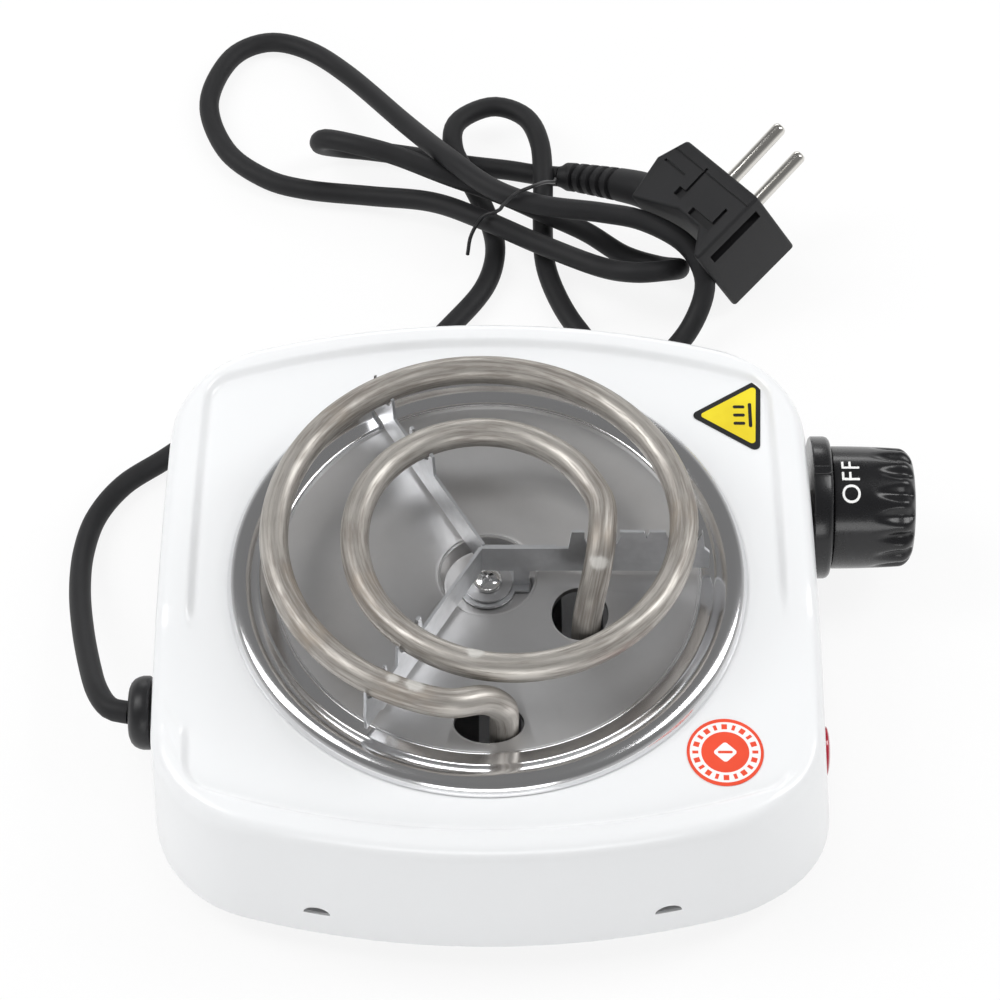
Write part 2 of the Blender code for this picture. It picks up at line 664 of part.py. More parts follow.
def thermostat():
    """Thermostat on its bracket: base, bush, D-shaft, push pin, contact arm and terminals."""
    plate = plate_x()
    half_w = thermostat_w / 2
    y0, z0 = knob_y, knob_z
    bracket = block("thermostat_bracket", (plate - bracket_t, y0 - half_w, z0 - 14 * mm),
                    (plate, y0 + half_w, z0 + 14 * mm), steel)
    foot_z = cover_z + cover_sheet + gap
    join(bracket, block("bracket_leg", (plate - bracket_t, y0 - half_w, foot_z), (plate, y0 + half_w, z0 - 12 * mm), steel))
    join(bracket, block("bracket_foot", (plate - 12 * mm, y0 - half_w, foot_z), (plate, y0 + half_w, foot_z + bracket_t), steel))
    drill(bracket, "bracket_way", bush_r + 0.3 * mm, (plate - 5 * mm, y0, z0), (plate + 5 * mm, y0, z0), 16)
    back = plate - bracket_t - gap
    base = lathe_x("thermostat_base", [(11 * mm, back - thermostat_d), (11 * mm, back), (bush_r, back),
                                       (bush_r, wall_x(y0, z0) + 1 * mm), (spindle_r + spindle_clear, wall_x(y0, z0) + 1 * mm),
                                       (spindle_r + spindle_clear, back - 6 * mm), (push_r + spindle_clear, back - 6 * mm),
                                       (push_r + spindle_clear, back - thermostat_d)], ceramic, (y0, z0), 20, wrap=True)
    for i, side in enumerate((-1, 1)):
        y = y0 + side * (half_w - 2.5 * mm)
        drill(bracket, f"bracket_screw_way_{i + 1}", 1.5 * mm + 0.2 * mm, (plate - 5 * mm, y, z0), (plate + 5 * mm, y, z0), 10)
        lathe_x(f"thermostat_screw_{i + 1}", [(0, plate - bracket_t - 4 * mm), (1.5 * mm, plate - bracket_t - 4 * mm),
                                              (1.5 * mm, plate + gap * 0.7), (2.6 * mm, plate + gap * 0.7),
                                              (2.6 * mm, plate + 1.2 * mm), (0, plate + 1.2 * mm)], steel, (y, z0), 10)
    front = back - 6 * mm + 0.4 * mm
    tip = knob_start() + knob_length - 6 * mm
    spindle = lathe_x("thermostat_spindle", [(0, front), (spindle_r - 0.01 * mm, front), (spindle_r - 0.01 * mm, knob_start() - 1 * mm),
                                             (spindle_r, knob_start() - 1 * mm), (spindle_r, tip), (0, tip)],
                      steel, (y0, z0), 20, shape=flat_side(spindle_r, spindle_flat))
    pin_back = back - thermostat_d - 4 * mm
    lathe_x("thermostat_pin", [(0, pin_back), (push_r, pin_back), (push_r, front - gap), (0, front - gap)],
            ceramic, (y0, z0), 12)
    arm_x = pin_back - gap
    block("thermostat_arm", (arm_x - 0.6 * mm, y0 - 2.5 * mm, z0 - 3 * mm), (arm_x, y0 + 2.5 * mm, z0 + 9 * mm), brass)
    for i, side in enumerate((-1, 1)):
        y = y0 + side * 5.5 * mm
        end = back - thermostat_d - gap
        block(f"thermostat_terminal_{i + 1}", (end - 8 * mm, y - 2 * mm, z0 - 5.5 * mm),
              (end, y + 2 * mm, z0 - 4.7 * mm), brass)
    return spindle


def collar_start():
    return wall_x(knob_y - collar_r, knob_z - collar_r) + gap


def knob_start():
    return collar_start() + collar_t + gap


def collar():
    """Round dial ring behind the knob, with a pointer rib; its back follows the bowed wall."""
    count = 24
    hole = bush_r + 0.5 * mm

    def ring(radius, x, on_wall=False):
        points = []
        for i in range(count):
            turn = 2 * math.pi * i / count
            y, z = knob_y + radius * math.cos(turn), knob_z + radius * math.sin(turn)
            points.append(Vector((wall_x(y, z) + gap if on_wall else x, y, z)))
        return points

    end = collar_start() + collar_t
    rings = [ring(hole, 0, True), ring(collar_r, 0, True), ring(collar_r, end - 1 * mm), ring(collar_r - 1 * mm, end),
             ring(knob_r - 2 * mm, end), ring(hole, end)]
    loft("knob_collar", rings, black, wrap=True)


def knob():
    """Hollow fluted knob with a D bore on the spindle."""
    start = knob_start()
    end = start + knob_length

    def flutes(r, angle, x):
        if r < knob_r * 0.8 or x < start + knob_length * 0.45 or x > end - 1 * mm:
            return r
        return r - knob_flute_depth * (0.5 + 0.5 * math.cos(knob_flutes * angle)) ** 1.5

    bore = spindle_r + 0.3 * mm
    inside = knob_r - knob_wall
    deep = end - 5 * mm
    profile = [(bore, start + 2 * mm), (7 * mm, start + 2 * mm), (7 * mm, start + 9 * mm), (inside - 0.5 * mm, start + 10 * mm),
               (inside, start), (knob_r, start), (knob_r, start + 10 * mm), (knob_r, start + 12 * mm), (knob_r - 0.2 * mm, end - 3.4 * mm),
               (knob_r - 1.2 * mm, end - 1.2 * mm), (knob_r - 4 * mm, end), (0, end)]
    d_bore = flat_side(bore, spindle_flat + 0.3 * mm)

    def shape(r, angle, x):
        return d_bore(r, angle, x) if r < 5 * mm else flutes(r, angle, x)

    full = [(0, deep), (bore, deep)] + profile
    made = lathe_x("knob", full, black, (knob_y, knob_z), 48, shape=shape)
    return made


# ---------------------------------------------------------------- lamp, gland and wiring
def lamp():
    face = wall_x(lamp_y, lamp_z) + gap
    lathe_x("lamp_lens", [(0, face - 8 * mm), (lamp_stem_r, face - 8 * mm), (lamp_stem_r, face), (lamp_r, face),
                          (lamp_r, face + 0.8 * mm), (lamp_r * 0.7, face + 1.8 * mm), (0, face + 2.1 * mm)],
            red_lens, (lamp_y, lamp_z), 24)
    back = face - 8 * mm - gap
    lathe_x("lamp_body", [(0, back - 14 * mm), (4 * mm, back - 14 * mm), (4 * mm, back), (0, back)], amber,
            (lamp_y, lamp_z), 14)


def gland_end():
    return -wall_x(gland_y - gland_r, gland_z - gland_r) - gap - gland_t


def gland():
    """Round bush in the wall that grips the cord."""
    end = gland_end()
    face = end + gland_t
    inside = -shell_half_x + 8 * mm
    bore = core_bundle_r
    lathe_x("cord_gland", [(bore, end), (gland_r - 1.6 * mm, end), (gland_r, end + 1.4 * mm), (gland_r, face - 1 * mm),
                           (gland_r - 0.6 * mm, face), (gland_stem_r, face), (gland_stem_r, inside), (bore, inside)],
            rubber, (gland_y, gland_z), 24, wrap=True)


def terminal_block():
    """Ceramic block with a hole down through each pole, and its clamp screws."""
    low = Vector(block_at)
    z0 = cover_z + cover_sheet + gap
    body = block("terminal_block", (low.x, low.y, z0), (low.x + 18 * mm, low.y + 26 * mm, z0 + 12 * mm), ceramic)
    for i in range(4):
        x = low.x + (5 if i % 2 else 13) * mm
        y = low.y + (7 if i < 2 else 19) * mm
        drill(body, f"block_way_{i + 1}", 1.9 * mm, (x, y, z0 + 5 * mm), (x, y, z0 + 15 * mm), 10)
        lathe(f"terminal_screw_{i + 1}", [(0, z0 + 5.3 * mm), (1.6 * mm, z0 + 5.3 * mm), (1.6 * mm, z0 + 13 * mm),
                                          (0, z0 + 13 * mm)], brass, 10, (x, y))


def wiring():
    """Three cores from the cord and the inside leads."""
    z0 = cover_z + cover_sheet + gap
    start = gland_end() + 2 * mm
    mid_z = z0 + 7 * mm
    x0, y0 = block_at[0], block_at[1]
    clear = gap + 0.1 * mm
    for name, mat, off, end in (
            ("core_live", brown, (1.2 * mm, 0.7 * mm), (x0 - clear, y0 + 19 * mm, mid_z)),
            ("core_neutral", blue, (-1.2 * mm, 0.7 * mm), (x0 - clear, y0 + 7 * mm, mid_z))):
        route = [(start, gland_y + off[0], gland_z + off[1]), (-shell_half_x + 12 * mm, gland_y + off[0], gland_z + off[1]),
                 (x0 - 9 * mm, (gland_y + end[1]) / 2, (gland_z + mid_z) / 2), (x0 - 4 * mm, end[1], mid_z), end]
        wire(name, route, core_r, mat, 5 * mm, 1)
    earth = [(start, gland_y, gland_z - 1.4 * mm), (-shell_half_x + 12 * mm, gland_y, gland_z - 1.4 * mm),
             (-76 * mm, gland_y - 8 * mm, gland_z - 6 * mm), (-74 * mm, gland_y - 16 * mm, z0 + 6 * mm),
             (earth_at[0], earth_at[1], z0 + 5.2 * mm)]
    wire("core_earth", earth, core_r, green, 5 * mm, 1)
    lathe("earth_tag", [(1.9 * mm, z0), (4 * mm, z0), (4 * mm, z0 + 0.8 * mm), (1.9 * mm, z0 + 0.8 * mm)], brass, 14,
          earth_at, wrap=True)
    lathe("earth_screw", [(0, z0 + 0.15 * mm), (1.6 * mm, z0 + 0.15 * mm), (1.6 * mm, z0 + 1.1 * mm), (3.2 * mm, z0 + 1.1 * mm),
                          (3.2 * mm, z0 + 2.6 * mm), (0, z0 + 3.4 * mm)], steel, 12, earth_at)
    end_x = x0 + 18 * mm + clear
    drop = coil_leg_z - gap - bead_t - pin_reach - gap - 0.5 * mm
    wire("lead_neutral", [(end_x, y0 + 7 * mm, mid_z), (end_x + 6 * mm, y0 + 7 * mm, mid_z), (-10 * mm, -50 * mm, z0 + 5 * mm),
                          (2 * mm, -50.4 * mm, z0 + 5 * mm), (4.6 * mm, -50.4 * mm, drop)], lead_r, brown, 6 * mm, 1)
    tag = plate_x() - bracket_t - gap - thermostat_d - gap - 8 * mm
    wire("lead_live", [(end_x, y0 + 19 * mm, mid_z), (end_x + 8 * mm, y0 + 22 * mm, mid_z), (-20 * mm, 10 * mm, z0 + 6 * mm),
                       (10 * mm, 34 * mm, z0 + 6 * mm), (tag - 12 * mm, knob_y + 5.5 * mm, knob_z - 6 * mm),
                       (tag - clear, knob_y + 5.5 * mm, knob_z - 5.1 * mm)], lead_r, brown, 8 * mm, 1)
    wire("lead_thermostat", [(tag - clear, knob_y - 5.5 * mm, knob_z - 5.1 * mm), (tag - 10 * mm, knob_y - 8 * mm, knob_z - 6 * mm),
                             (30 * mm, 10 * mm, z0 + 6 * mm), (27.3 * mm, -13 * mm, z0 + 4.5 * mm),
                             (27.3 * mm, -16 * mm, drop)], lead_r, white, 6 * mm, 1)


def labels():
    """Two thin stickers on the panel: a triangle behind the knob, a disc in front."""
    z = panel_z + gap * 0.4
    tip = Vector((59.2 * mm, 55.9 * mm))
    base = [Vector((78 * mm, 66.8 * mm)), Vector((77.7 * mm, 43.4 * mm))]
    ring = [tip, base[1], base[0]]
    rings = [[Vector((p.x, p.y, h)) for p in ring] for h in (z, z + label_t)]
    loft("triangle_label", rings, yellow)
    lathe("round_label", [(0, z), (round_label_r, z), (round_label_r, z + label_t), (0, z + label_t)], red, 32,
          (64.9 * mm, -60.5 * mm))


# ---------------------------------------------------------------- cord and plug
cord_route = [
    (-101.5, -30, 30), (-106, -28, 29.3), (-110.2, -21, 27), (-113.5, -9.9, 22.5), (-117.4, 7.7, 16),
    (-120.1, 25.7, 10.5), (-120.6, 42.7, 6), (-117.9, 57.4, 3.8), (-110.5, 69.5, 3.5), (-99, 79, 3.5),
    (-84, 91.5, 3.5), (-64, 103, 3.5), (-42, 112, 3.5), (-22, 121, 3.5), (-9.7, 134.7, 3.6),
    (-1, 148.4, 3.6), (2, 162.7, 3.8), (-0.5, 176, 4.8), (-6.2, 188.5, 8), (-11.6, 200.4, 10.6),
    (-10.2, 211.5, 11), (0.9, 218, 11.2), (11.5, 213.5, 11.3), (16.3, 202, 11.4), (17.3, 188, 8.5),
    (17.2, 173.6, 4.4), (17.8, 158, 3.6), (21.4, 144.1, 3.5), (27.5, 131, 3.5), (37, 118, 3.5),
    (50, 115, 3.8), (60.6, 124, 7), (66.6, 133.5, 14), (66.6, 139.5, 21), (60.6, 147.5, 25.5),
    (48.2, 154.5, 27.5), (35.1, 157.5, 28), (15.4, 161.2, 27.6), (0.6, 168.8, 27), (-12.8, 183.5, 24.6),
    (-26.6, 206.4, 15), (-46.9, 237.1, 6), (-61.3, 250.8, 3.8), (-74.8, 254.2, 3.5), (-86.5, 246.4, 3.5),
    (-92.5, 226.5, 3.5), (-86, 206.1, 3.5), (-73.1, 193.8, 3.6), (-59.3, 188.3, 4), (-38.8, 184.3, 5.5),
    (-18.3, 178.2, 9.4), (-1.9, 167.7, 12.9), (15.5, 157, 13.8), (34, 144.5, 17.5), (45, 138.5, 21.5),
    (55, 140.5, 20), (59.9, 147.5, 12.8), (54, 154.6, 5.6), (43, 160.5, 4), (31, 168, 6.6),
    (17, 171.6, 12), (3, 176, 16.2), (-13, 180.6, 19.4), (-30, 187, 22), (-43, 190.5, 23.3),
    (-52.5, 195, 20.8), (-54.5, 199.5, 13.4), (-49, 205.5, 5.2), (-38, 205.5, 3.5), (-22, 202.5, 3.5),
    (-7.6, 199.3, 3.5), (6, 197, 3.7), (15.5, 194.2, 4.6), (22.6, 192, 6.2)]


def cord():
    """The whole cord, from the gland round the back to the plug's sleeve."""
    route = [tuple(v * mm for v in p) for p in cord_route]
    wire("power_cord", route, cord_r, cord_mat, step=15 * mm, roundness=2)


def twist_tie():
    """Thin tie wire over the bundle."""
    route = [(-6.8, 156.5, 9), (-5.6, 159, 15.5), (-1.9, 164.5, 18), (3, 164.5, 21), (4.8, 161.2, 27.9), (8.6, 161.2, 32.8),
             (13.5, 164, 32.8), (17.5, 171, 27), (20.6, 180, 17), (21.2, 186, 11.6)]
    wire("twist_tie", [tuple(v * mm for v in p) for p in route], tie_r, cord_mat, 5 * mm, 1)


def plug_place():
    """Matrix of the plug: pins along its x, cord side along -y, the pair of pins along z."""
    pins = Vector((0.687, 0.585, 0.433)).normalized()
    side = Vector((0.612, -0.787, 0.091))
    side = (side - pins * side.dot(pins)).normalized()
    pair = pins.cross(side)
    turn = Matrix((pins, side, pair)).transposed().to_4x4()
    return Matrix.Translation(Vector(plug_at)) @ turn


def plug():
    place = plug_place()
    half = plug_w / 2
    back = plug_depth - 8 * mm
    shape = [(0, -half), (0, half), (-plug_depth, half - 0.8 * mm), (-plug_depth, half - 3 * mm),
             (-back, half - 9 * mm), (-back, -2 * mm), (-plug_cord_a - 7.5 * mm, -half - 1 * mm),
             (-plug_cord_a + 7.5 * mm, -half - 4 * mm)]
    body = sheet("plug_body", shape, plug_t, place, cord_mat)
    for i, side in enumerate((-1, 1)):
        z = side * plug_pin_pitch / 2
        ends = [place @ Vector((gap, 0, z)), place @ Vector((plug_pin_length, 0, z))]
        turn = (ends[1] - ends[0]).to_track_quat("Z", "Y").to_matrix()
        rings = [[ends[0] + turn @ c for c in circle(plug_pin_r, 12)],
                 [ends[1] + turn @ (c + Vector((0, 0, -1.5 * mm))) for c in circle(plug_pin_r, 12)],
                 [ends[1] + turn @ c for c in circle(plug_pin_r * 0.5, 12)]]
        loft(f"plug_pin_{i + 1}", rings, nickel)
    return body


def sleeve():
    """Tapered strain relief between the cord and the plug."""
    place = plug_place()
    out = place.to_3x3() @ Vector((-3, -15, 0)).normalized()
    start = place @ Vector((-plug_cord_a, -plug_w / 2 - 2.5 * mm, 0)) + out * gap * 1.5
    end = Vector([v * mm for v in cord_route[-1]])
    before = Vector([v * mm for v in cord_route[-2]])
    along = (end - before).normalized()
    first = end + along * gap
    route = smooth_route([first, first + along * 7 * mm, start + out * 10 * mm, start], 5 * mm)
    mesh_rings = []
    for i, p in enumerate(route):
        ahead = (route[min(i + 1, len(route) - 1)] - route[max(i - 1, 0)]).normalized()
        if i == 0:
            ahead = along
        if i == len(route) - 1:
            ahead = -out
        turn = ahead.to_track_quat("Z", "Y").to_matrix()
        radius = 3.6 * mm + (5.6 - 3.6) * mm * i / (len(route) - 1)
        mesh_rings.append([p + turn @ c for c in circle(radius, 12)])
    loft("plug_sleeve", mesh_rings, cord_mat)


# ---------------------------------------------------------------- build
for old in list(bpy.data.objects):
    bpy.data.objects.remove(old, do_unlink=True)

model = bpy.data.objects.new("model", None)
bpy.context.scene.collection.objects.link(model)

tool_mat = material("tool", (1, 0, 1), 0.5)
paint = material("white_paint", (0.93, 0.94, 0.95), 0.3)
steel = material("zinc_steel", (0.6, 0.6, 0.62), 0.4, 1)
chrome = material("chrome", (0.75, 0.75, 0.77), 0.2, 1)
tube_steel = material("tube_steel", (0.45, 0.42, 0.39), 0.45, 0.9)
support_steel = material("galvanised", (0.55, 0.56, 0.58), 0.45, 0.9)
ceramic = material("ceramic", (0.85, 0.83, 0.78), 0.6)
brass = material("brass", (0.8, 0.62, 0.3), 0.35, 1)
nickel = material("nickel", (0.75, 0.74, 0.7), 0.25, 1)
black = material("black_plastic", (0.02, 0.02, 0.02), 0.3)
rubber = material("black_rubber", (0.03, 0.03, 0.03), 0.7)
cord_mat = material("cord_rubber", (0.03, 0.03, 0.03), 0.6)
red_lens = material("red_lens", (0.45, 0.02, 0.05), 0.2)
amber = material("lamp_glass", (0.9, 0.55, 0.3), 0.2)
brown = material("brown_lead", (0.3, 0.15, 0.08), 0.5)
blue = material("blue_lead", (0.1, 0.2, 0.6), 0.5)
green = material("green_lead", (0.4, 0.6, 0.1), 0.5)
white = material("white_lead", (0.85, 0.85, 0.85), 0.5)
yellow = material("yellow_label", (0.85, 0.78, 0.05), 0.4)
red = material("red_label", (0.9, 0.2, 0.12), 0.4)

housing()
bottom_cover()
feet()
cover_screws()
drip_pan()
heating_coil()
coil_support()
clamp()
coil_ends()
thermostat()
collar()
knob()
lamp()
gland()
terminal_block()
wiring()
labels()
cord()
twist_tie()
plug()
sleeve()

# the footprint's middle, from the gland's outer end to the knob's, comes to the origin
right = knob_start() + knob_length
model.location.x = -(right + gland_end()) / 2
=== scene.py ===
import math

import bmesh
import bpy
from mathutils import Matrix, Vector


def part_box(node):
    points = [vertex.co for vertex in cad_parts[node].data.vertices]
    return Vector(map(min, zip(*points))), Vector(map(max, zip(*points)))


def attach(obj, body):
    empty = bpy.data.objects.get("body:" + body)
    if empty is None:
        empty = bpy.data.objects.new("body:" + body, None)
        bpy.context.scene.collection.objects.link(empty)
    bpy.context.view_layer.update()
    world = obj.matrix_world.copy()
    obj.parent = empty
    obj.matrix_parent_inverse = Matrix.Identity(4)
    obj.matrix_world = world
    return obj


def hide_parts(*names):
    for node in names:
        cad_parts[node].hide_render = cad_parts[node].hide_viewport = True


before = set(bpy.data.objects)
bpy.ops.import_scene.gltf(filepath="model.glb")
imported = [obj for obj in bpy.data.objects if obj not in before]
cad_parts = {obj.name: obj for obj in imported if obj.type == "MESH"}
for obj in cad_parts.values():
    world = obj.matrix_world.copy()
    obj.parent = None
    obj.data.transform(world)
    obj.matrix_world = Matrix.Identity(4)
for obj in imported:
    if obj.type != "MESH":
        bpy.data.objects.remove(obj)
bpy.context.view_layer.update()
scene = bpy.context.scene
mm = 0.001
shellLow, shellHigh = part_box("housing")
midX = (shellLow.x + shellHigh.x) / 2  # the drip pan's axis
print("frame loaded")


def at(x, y, z):  # millimetres from the pan's axis and the table, to metres in the frame
    return Vector((midX + x * mm, y * mm, z * mm))


def smoothStep(low, high, value):
    share = min(1, max(0, (value - low) / (high - low)))
    return share * share * (3 - 2 * share)


# ---- shader helpers


class Value:
    def __init__(self, paint, socket):
        self.paint = paint
        self.socket = socket

    def run(self, kind, other=0.0, swap=False):
        pair = [self.socket, other.socket if isinstance(other, Value) else other]
        if swap:
            pair.reverse()
        return Value(self.paint, self.paint.node("ShaderNodeMath", {"operation": kind}, pair).outputs[0])

    def __add__(self, other):
        return self.run("ADD", other)

    def __radd__(self, other):
        return self.run("ADD", other)

    def __sub__(self, other):
        return self.run("SUBTRACT", other)

    def __rsub__(self, other):
        return self.run("SUBTRACT", other, True)

    def __mul__(self, other):
        return self.run("MULTIPLY", other)

    def __rmul__(self, other):
        return self.run("MULTIPLY", other)

    def between(self, low, high):  # 0 below low, 1 above high, smooth in between
        made = self.paint.node("ShaderNodeMapRange", {"interpolation_type": "SMOOTHSTEP"},
                               {"Value": self, "From Min": low, "From Max": high})
        return Value(self.paint, made.outputs[0])


class Paint:
    def __init__(self, name, **sockets):
        self.made = bpy.data.materials.new(name)
        self.made.use_nodes = True
        self.tree = self.made.node_tree
        self.shader = self.tree.nodes["Principled BSDF"]
        for key, value in sockets.items():
            self.put(self.shader, key.replace("_", " "), value)

    def put(self, node, key, value):
        socket = node.inputs[key]
        if isinstance(value, Value):
            value = value.socket
        if isinstance(value, bpy.types.NodeSocket):
            self.tree.links.new(value, socket)
        elif hasattr(value, "__len__") and len(socket.default_value) == 4:
            socket.default_value = (*value[:3], 1)
        else:
            socket.default_value = value

    def node(self, kind, settings=None, inputs=None):
        made = self.tree.nodes.new(kind)
        for key, value in (settings or {}).items():
            setattr(made, key, value)
        pairs = inputs.items() if isinstance(inputs, dict) else enumerate(inputs or [])
        for key, value in pairs:
            self.put(made, key, value)
        return made

    def place(self, stretch=(1, 1, 1), centre=(0, 0, 0)):  # object coordinates, in metres
        here = self.node("ShaderNodeTexCoord").outputs["Object"]
        moved = self.node("ShaderNodeVectorMath", {"operation": "SUBTRACT"}, [here, centre]).outputs[0]
        return self.node("ShaderNodeVectorMath", {"operation": "MULTIPLY"}, [moved, stretch]).outputs[0]

    def noise(self, scale, detail=3.0, where=None, rough=0.55):
        made = self.node("ShaderNodeTexNoise", {}, {"Vector": where or self.place(), "Scale": scale,
                                                    "Detail": detail, "Roughness": rough})
        return Value(self, made.outputs[0])

    def away(self, centre, flat=False):  # distance from a point, or from its upright line
        where = self.place((1, 1, 0) if flat else (1, 1, 1), centre)
        made = self.node("ShaderNodeVectorMath", {"operation": "LENGTH"}, [where])
        return Value(self, made.outputs["Value"])

    def mix(self, share, first, second):
        made = self.node("ShaderNodeMix", {"data_type": "RGBA"})
        self.put(made, 0, share)
        self.put(made, 6, first)
        self.put(made, 7, second)
        return made.outputs[2]

    def colour(self, value):
        self.put(self.shader, "Base Color", value)
        return self

    def rough(self, value):
        self.put(self.shader, "Roughness", value)
        return self

    def bump(self, height, distance, strength=1.0):
        made = self.node("ShaderNodeBump", {}, {"Strength": strength, "Distance": distance, "Height": height})
        self.put(self.shader, "Normal", made.outputs[0])
        return self


# ---- finishes

finish = {
    "enamel": (0.91, 0.92, 0.93), "tubeLight": (0.53, 0.505, 0.47), "tubeDark": (0.29, 0.265, 0.24),
    # the drip pan floor's colour below is partly the metal's tone and partly painted shade for the coil's
    # shadow and dim reflections
    "zinc": (0.72, 0.73, 0.75), "panFloorMetalAndShade": (0.43, 0.425, 0.42), "black": (0.006, 0.006, 0.007),
    "cord": (0.011, 0.011, 0.012), "plug": (0.010, 0.010, 0.011), "lens": (0.36, 0.008, 0.025),
    "yellow": (0.72, 0.53, 0.012), "red": (0.74, 0.055, 0.018), "white": (0.9, 0.9, 0.88),
    "nickel": (0.74, 0.72, 0.68), "ceramic": (0.82, 0.79, 0.72), "brass": (0.72, 0.52, 0.22),
}


def enamel():
    made = Paint("enamel", Coat_Weight=0.35, Coat_Roughness=0.08, Specular_IOR_Level=0.5)
    cloud = made.noise(22, 2)
    made.colour(made.mix(cloud * 0.35, finish["enamel"], (0.88, 0.895, 0.91)))
    made.rough(0.26 + 0.10 * made.noise(60, 3))
    peel = made.noise(420, 2)
    made.bump(peel, 0.00003, 0.5)
    return made.made


def panFinish():  # bright rolled rim, satin spun floor; the floor's darker colour is painted shade, standing in for the coil's shadow and the dim reflections on the floor
    made = Paint("panFinish", Metallic=1.0)
    radius = made.away((midX, 0, 0), True)
    floor = 1 - radius.between(58.2 * mm, 60.2 * mm)
    ringNoise = made.node("ShaderNodeCombineXYZ", {}, [radius, 0.0, 0.0]).outputs[0]
    spun = made.noise(5200, 3, ringNoise)
    smudge = made.noise(38, 4)
    stain = (1 - radius.between(12 * mm, 30 * mm)) * floor
    # painted shade: the floor is mixed towards a darker colour than the rim to stand in for the coil's shadow
    # and the dim reflections on it, by an amount that varies at random with the smudge noise
    shade = made.mix(floor * (0.22 + 0.5 * smudge), (0.80, 0.80, 0.81), finish["panFloorMetalAndShade"])
    made.colour(made.mix(stain * 0.25, shade, (0.52, 0.50, 0.48)))
    made.rough(0.15 + floor * (0.16 + 0.10 * spun + 0.08 * smudge))
    made.bump(spun * floor, 0.00002, 0.35)
    return made.made


def tubeFinish(marks):
    made = Paint("tubeFinish", Metallic=0.85)
    uv = made.node("ShaderNodeUVMap", {"uv_map": "along"}).outputs[0]
    along = made.node("ShaderNodeVectorMath", {"operation": "MULTIPLY"}, [uv, (0.9, 30, 1)]).outputs[0]
    streak = made.noise(1.0, 4, along)
    patch = made.noise(34, 4)
    fine = made.noise(900, 2)
    dark = (streak * 0.75 + patch * 0.6).between(0.52, 0.86)
    shade = made.mix(dark, finish["tubeLight"], finish["tubeDark"])
    shade = made.mix(patch.between(0.58, 0.75) * 0.5, shade, (0.55, 0.47, 0.38))
    smear = 0.0
    for mark, size in marks:
        ragged = made.away(mark) + (made.noise(260, 4) - 0.5) * (size * 1.1)
        spot = 1 - ragged.between(size * 0.35, size)
        smear = smear + spot
    made.colour(made.mix(smear.between(0.0, 1.0) * 0.75, shade, (0.80, 0.79, 0.76)))
    made.rough(0.40 + 0.16 * dark + 0.06 * fine + smear.between(0.0, 1.0) * 0.2)
    made.bump(streak * 0.6 + fine * 0.4, 0.00006, 0.45)
    return made.made


def zincFinish(name="zincFinish", shade=None, spangle=420):
    shade = shade or finish["zinc"]
    made = Paint(name, Metallic=0.92)
    cell = made.node("ShaderNodeTexVoronoi", {"feature": "F1"}, {"Vector": made.place(), "Scale": spangle})
    grain = Value(made, cell.outputs["Distance"])
    cloud = made.noise(120, 4)
    darker = tuple(c * 0.66 for c in shade)
    made.colour(made.mix(cloud * 0.7 + grain * 0.2, shade, darker))
    made.rough(0.30 + 0.22 * cloud)
    made.bump(cloud + grain * 0.4, 0.00004, 0.4)
    return made.made


def plasticFinish(name, shade, rough, grain=900, depth=0.00003, coat=0.0, shine=0.5):
    made = Paint(name, Coat_Weight=coat, Coat_Roughness=0.12, Specular_IOR_Level=shine)
    cloud = made.noise(70, 3)
    fine = made.noise(grain, 2)
    lighter = tuple(min(1, c * 1.6 + 0.004) for c in shade)
    made.colour(made.mix(cloud, shade, lighter))
    made.rough(rough + 0.10 * cloud + 0.05 * fine)
    made.bump(fine, depth, 0.5)
    return made.made


def metalFinish(name, shade, rough):
    made = Paint(name, Metallic=1.0)
    cloud = made.noise(160, 3)
    made.colour(made.mix(cloud * 0.5, shade, tuple(c * 0.8 for c in shade)))
    made.rough(rough + 0.12 * cloud)
    made.bump(made.noise(1500, 2), 0.00001, 0.4)
    return made.made


def lensFinish():
    made = Paint("lensFinish", Coat_Weight=0.8, Coat_Roughness=0.03, Specular_IOR_Level=0.6)
    cloud = made.noise(300, 2)
    made.colour(made.mix(cloud, finish["lens"], (0.55, 0.02, 0.05)))
    made.rough(0.10 + 0.05 * cloud)
    return made.made


paints = {
    "enamel": enamel(), "pan": panFinish(), "zinc": zincFinish(),
    "tube": tubeFinish([(at(-3, -41, 78), 3.6 * mm), (at(-19, -51.5, 78), 3.8 * mm),
                        (at(-25, -50, 77), 2.6 * mm), (at(30.5, -8, 72), 3.4 * mm)]),
    "steel": zincFinish("platedSteel", (0.66, 0.66, 0.67), 160),
    "knob": plasticFinish("knobPlastic", finish["black"], 0.2, 700, 0.00001, 0.25, 0.35),
    "rubber": plasticFinish("glandRubber", finish["cord"], 0.3, shine=0.35),
    "cord": plasticFinish("cordJacket", finish["cord"], 0.5, 1300, 0.00002, shine=0.3),
    "plug": plasticFinish("plugMoulding", finish["plug"], 0.5, 1500, 0.00003, shine=0.3),
    "tie": plasticFinish("tiePlastic", finish["black"], 0.35),
    "lens": lensFinish(),
    "yellow": plasticFinish("yellowFilm", finish["yellow"], 0.35),
    "blackFilm": plasticFinish("blackFilm", finish["black"], 0.35),
    "red": plasticFinish("redFilm", finish["red"], 0.35),
    "whiteFilm": plasticFinish("whiteFilm", finish["white"], 0.35),
    "ceramic": plasticFinish("ceramicBody", finish["ceramic"], 0.6, 500, 0.00005),
    "brass": metalFinish("brassParts", finish["brass"], 0.25),
    "nickel": metalFinish("nickelPins", finish["nickel"], 0.14),
    "screw": metalFinish("brightScrew", (0.82, 0.82, 0.82), 0.10),
    "brown": plasticFinish("brownLead", (0.22, 0.10, 0.05), 0.4),
    "blue": plasticFinish("blueLead", (0.05, 0.13, 0.45), 0.4),
    "green": plasticFinish("greenLead", (0.30, 0.50, 0.06), 0.4),
    "white": plasticFinish("whiteLead", (0.80, 0.80, 0.78), 0.5),
    "amber": plasticFinish("lampGlass", (0.75, 0.35, 0.15), 0.15),
}
print("finishes made")

# ---- mesh helpers


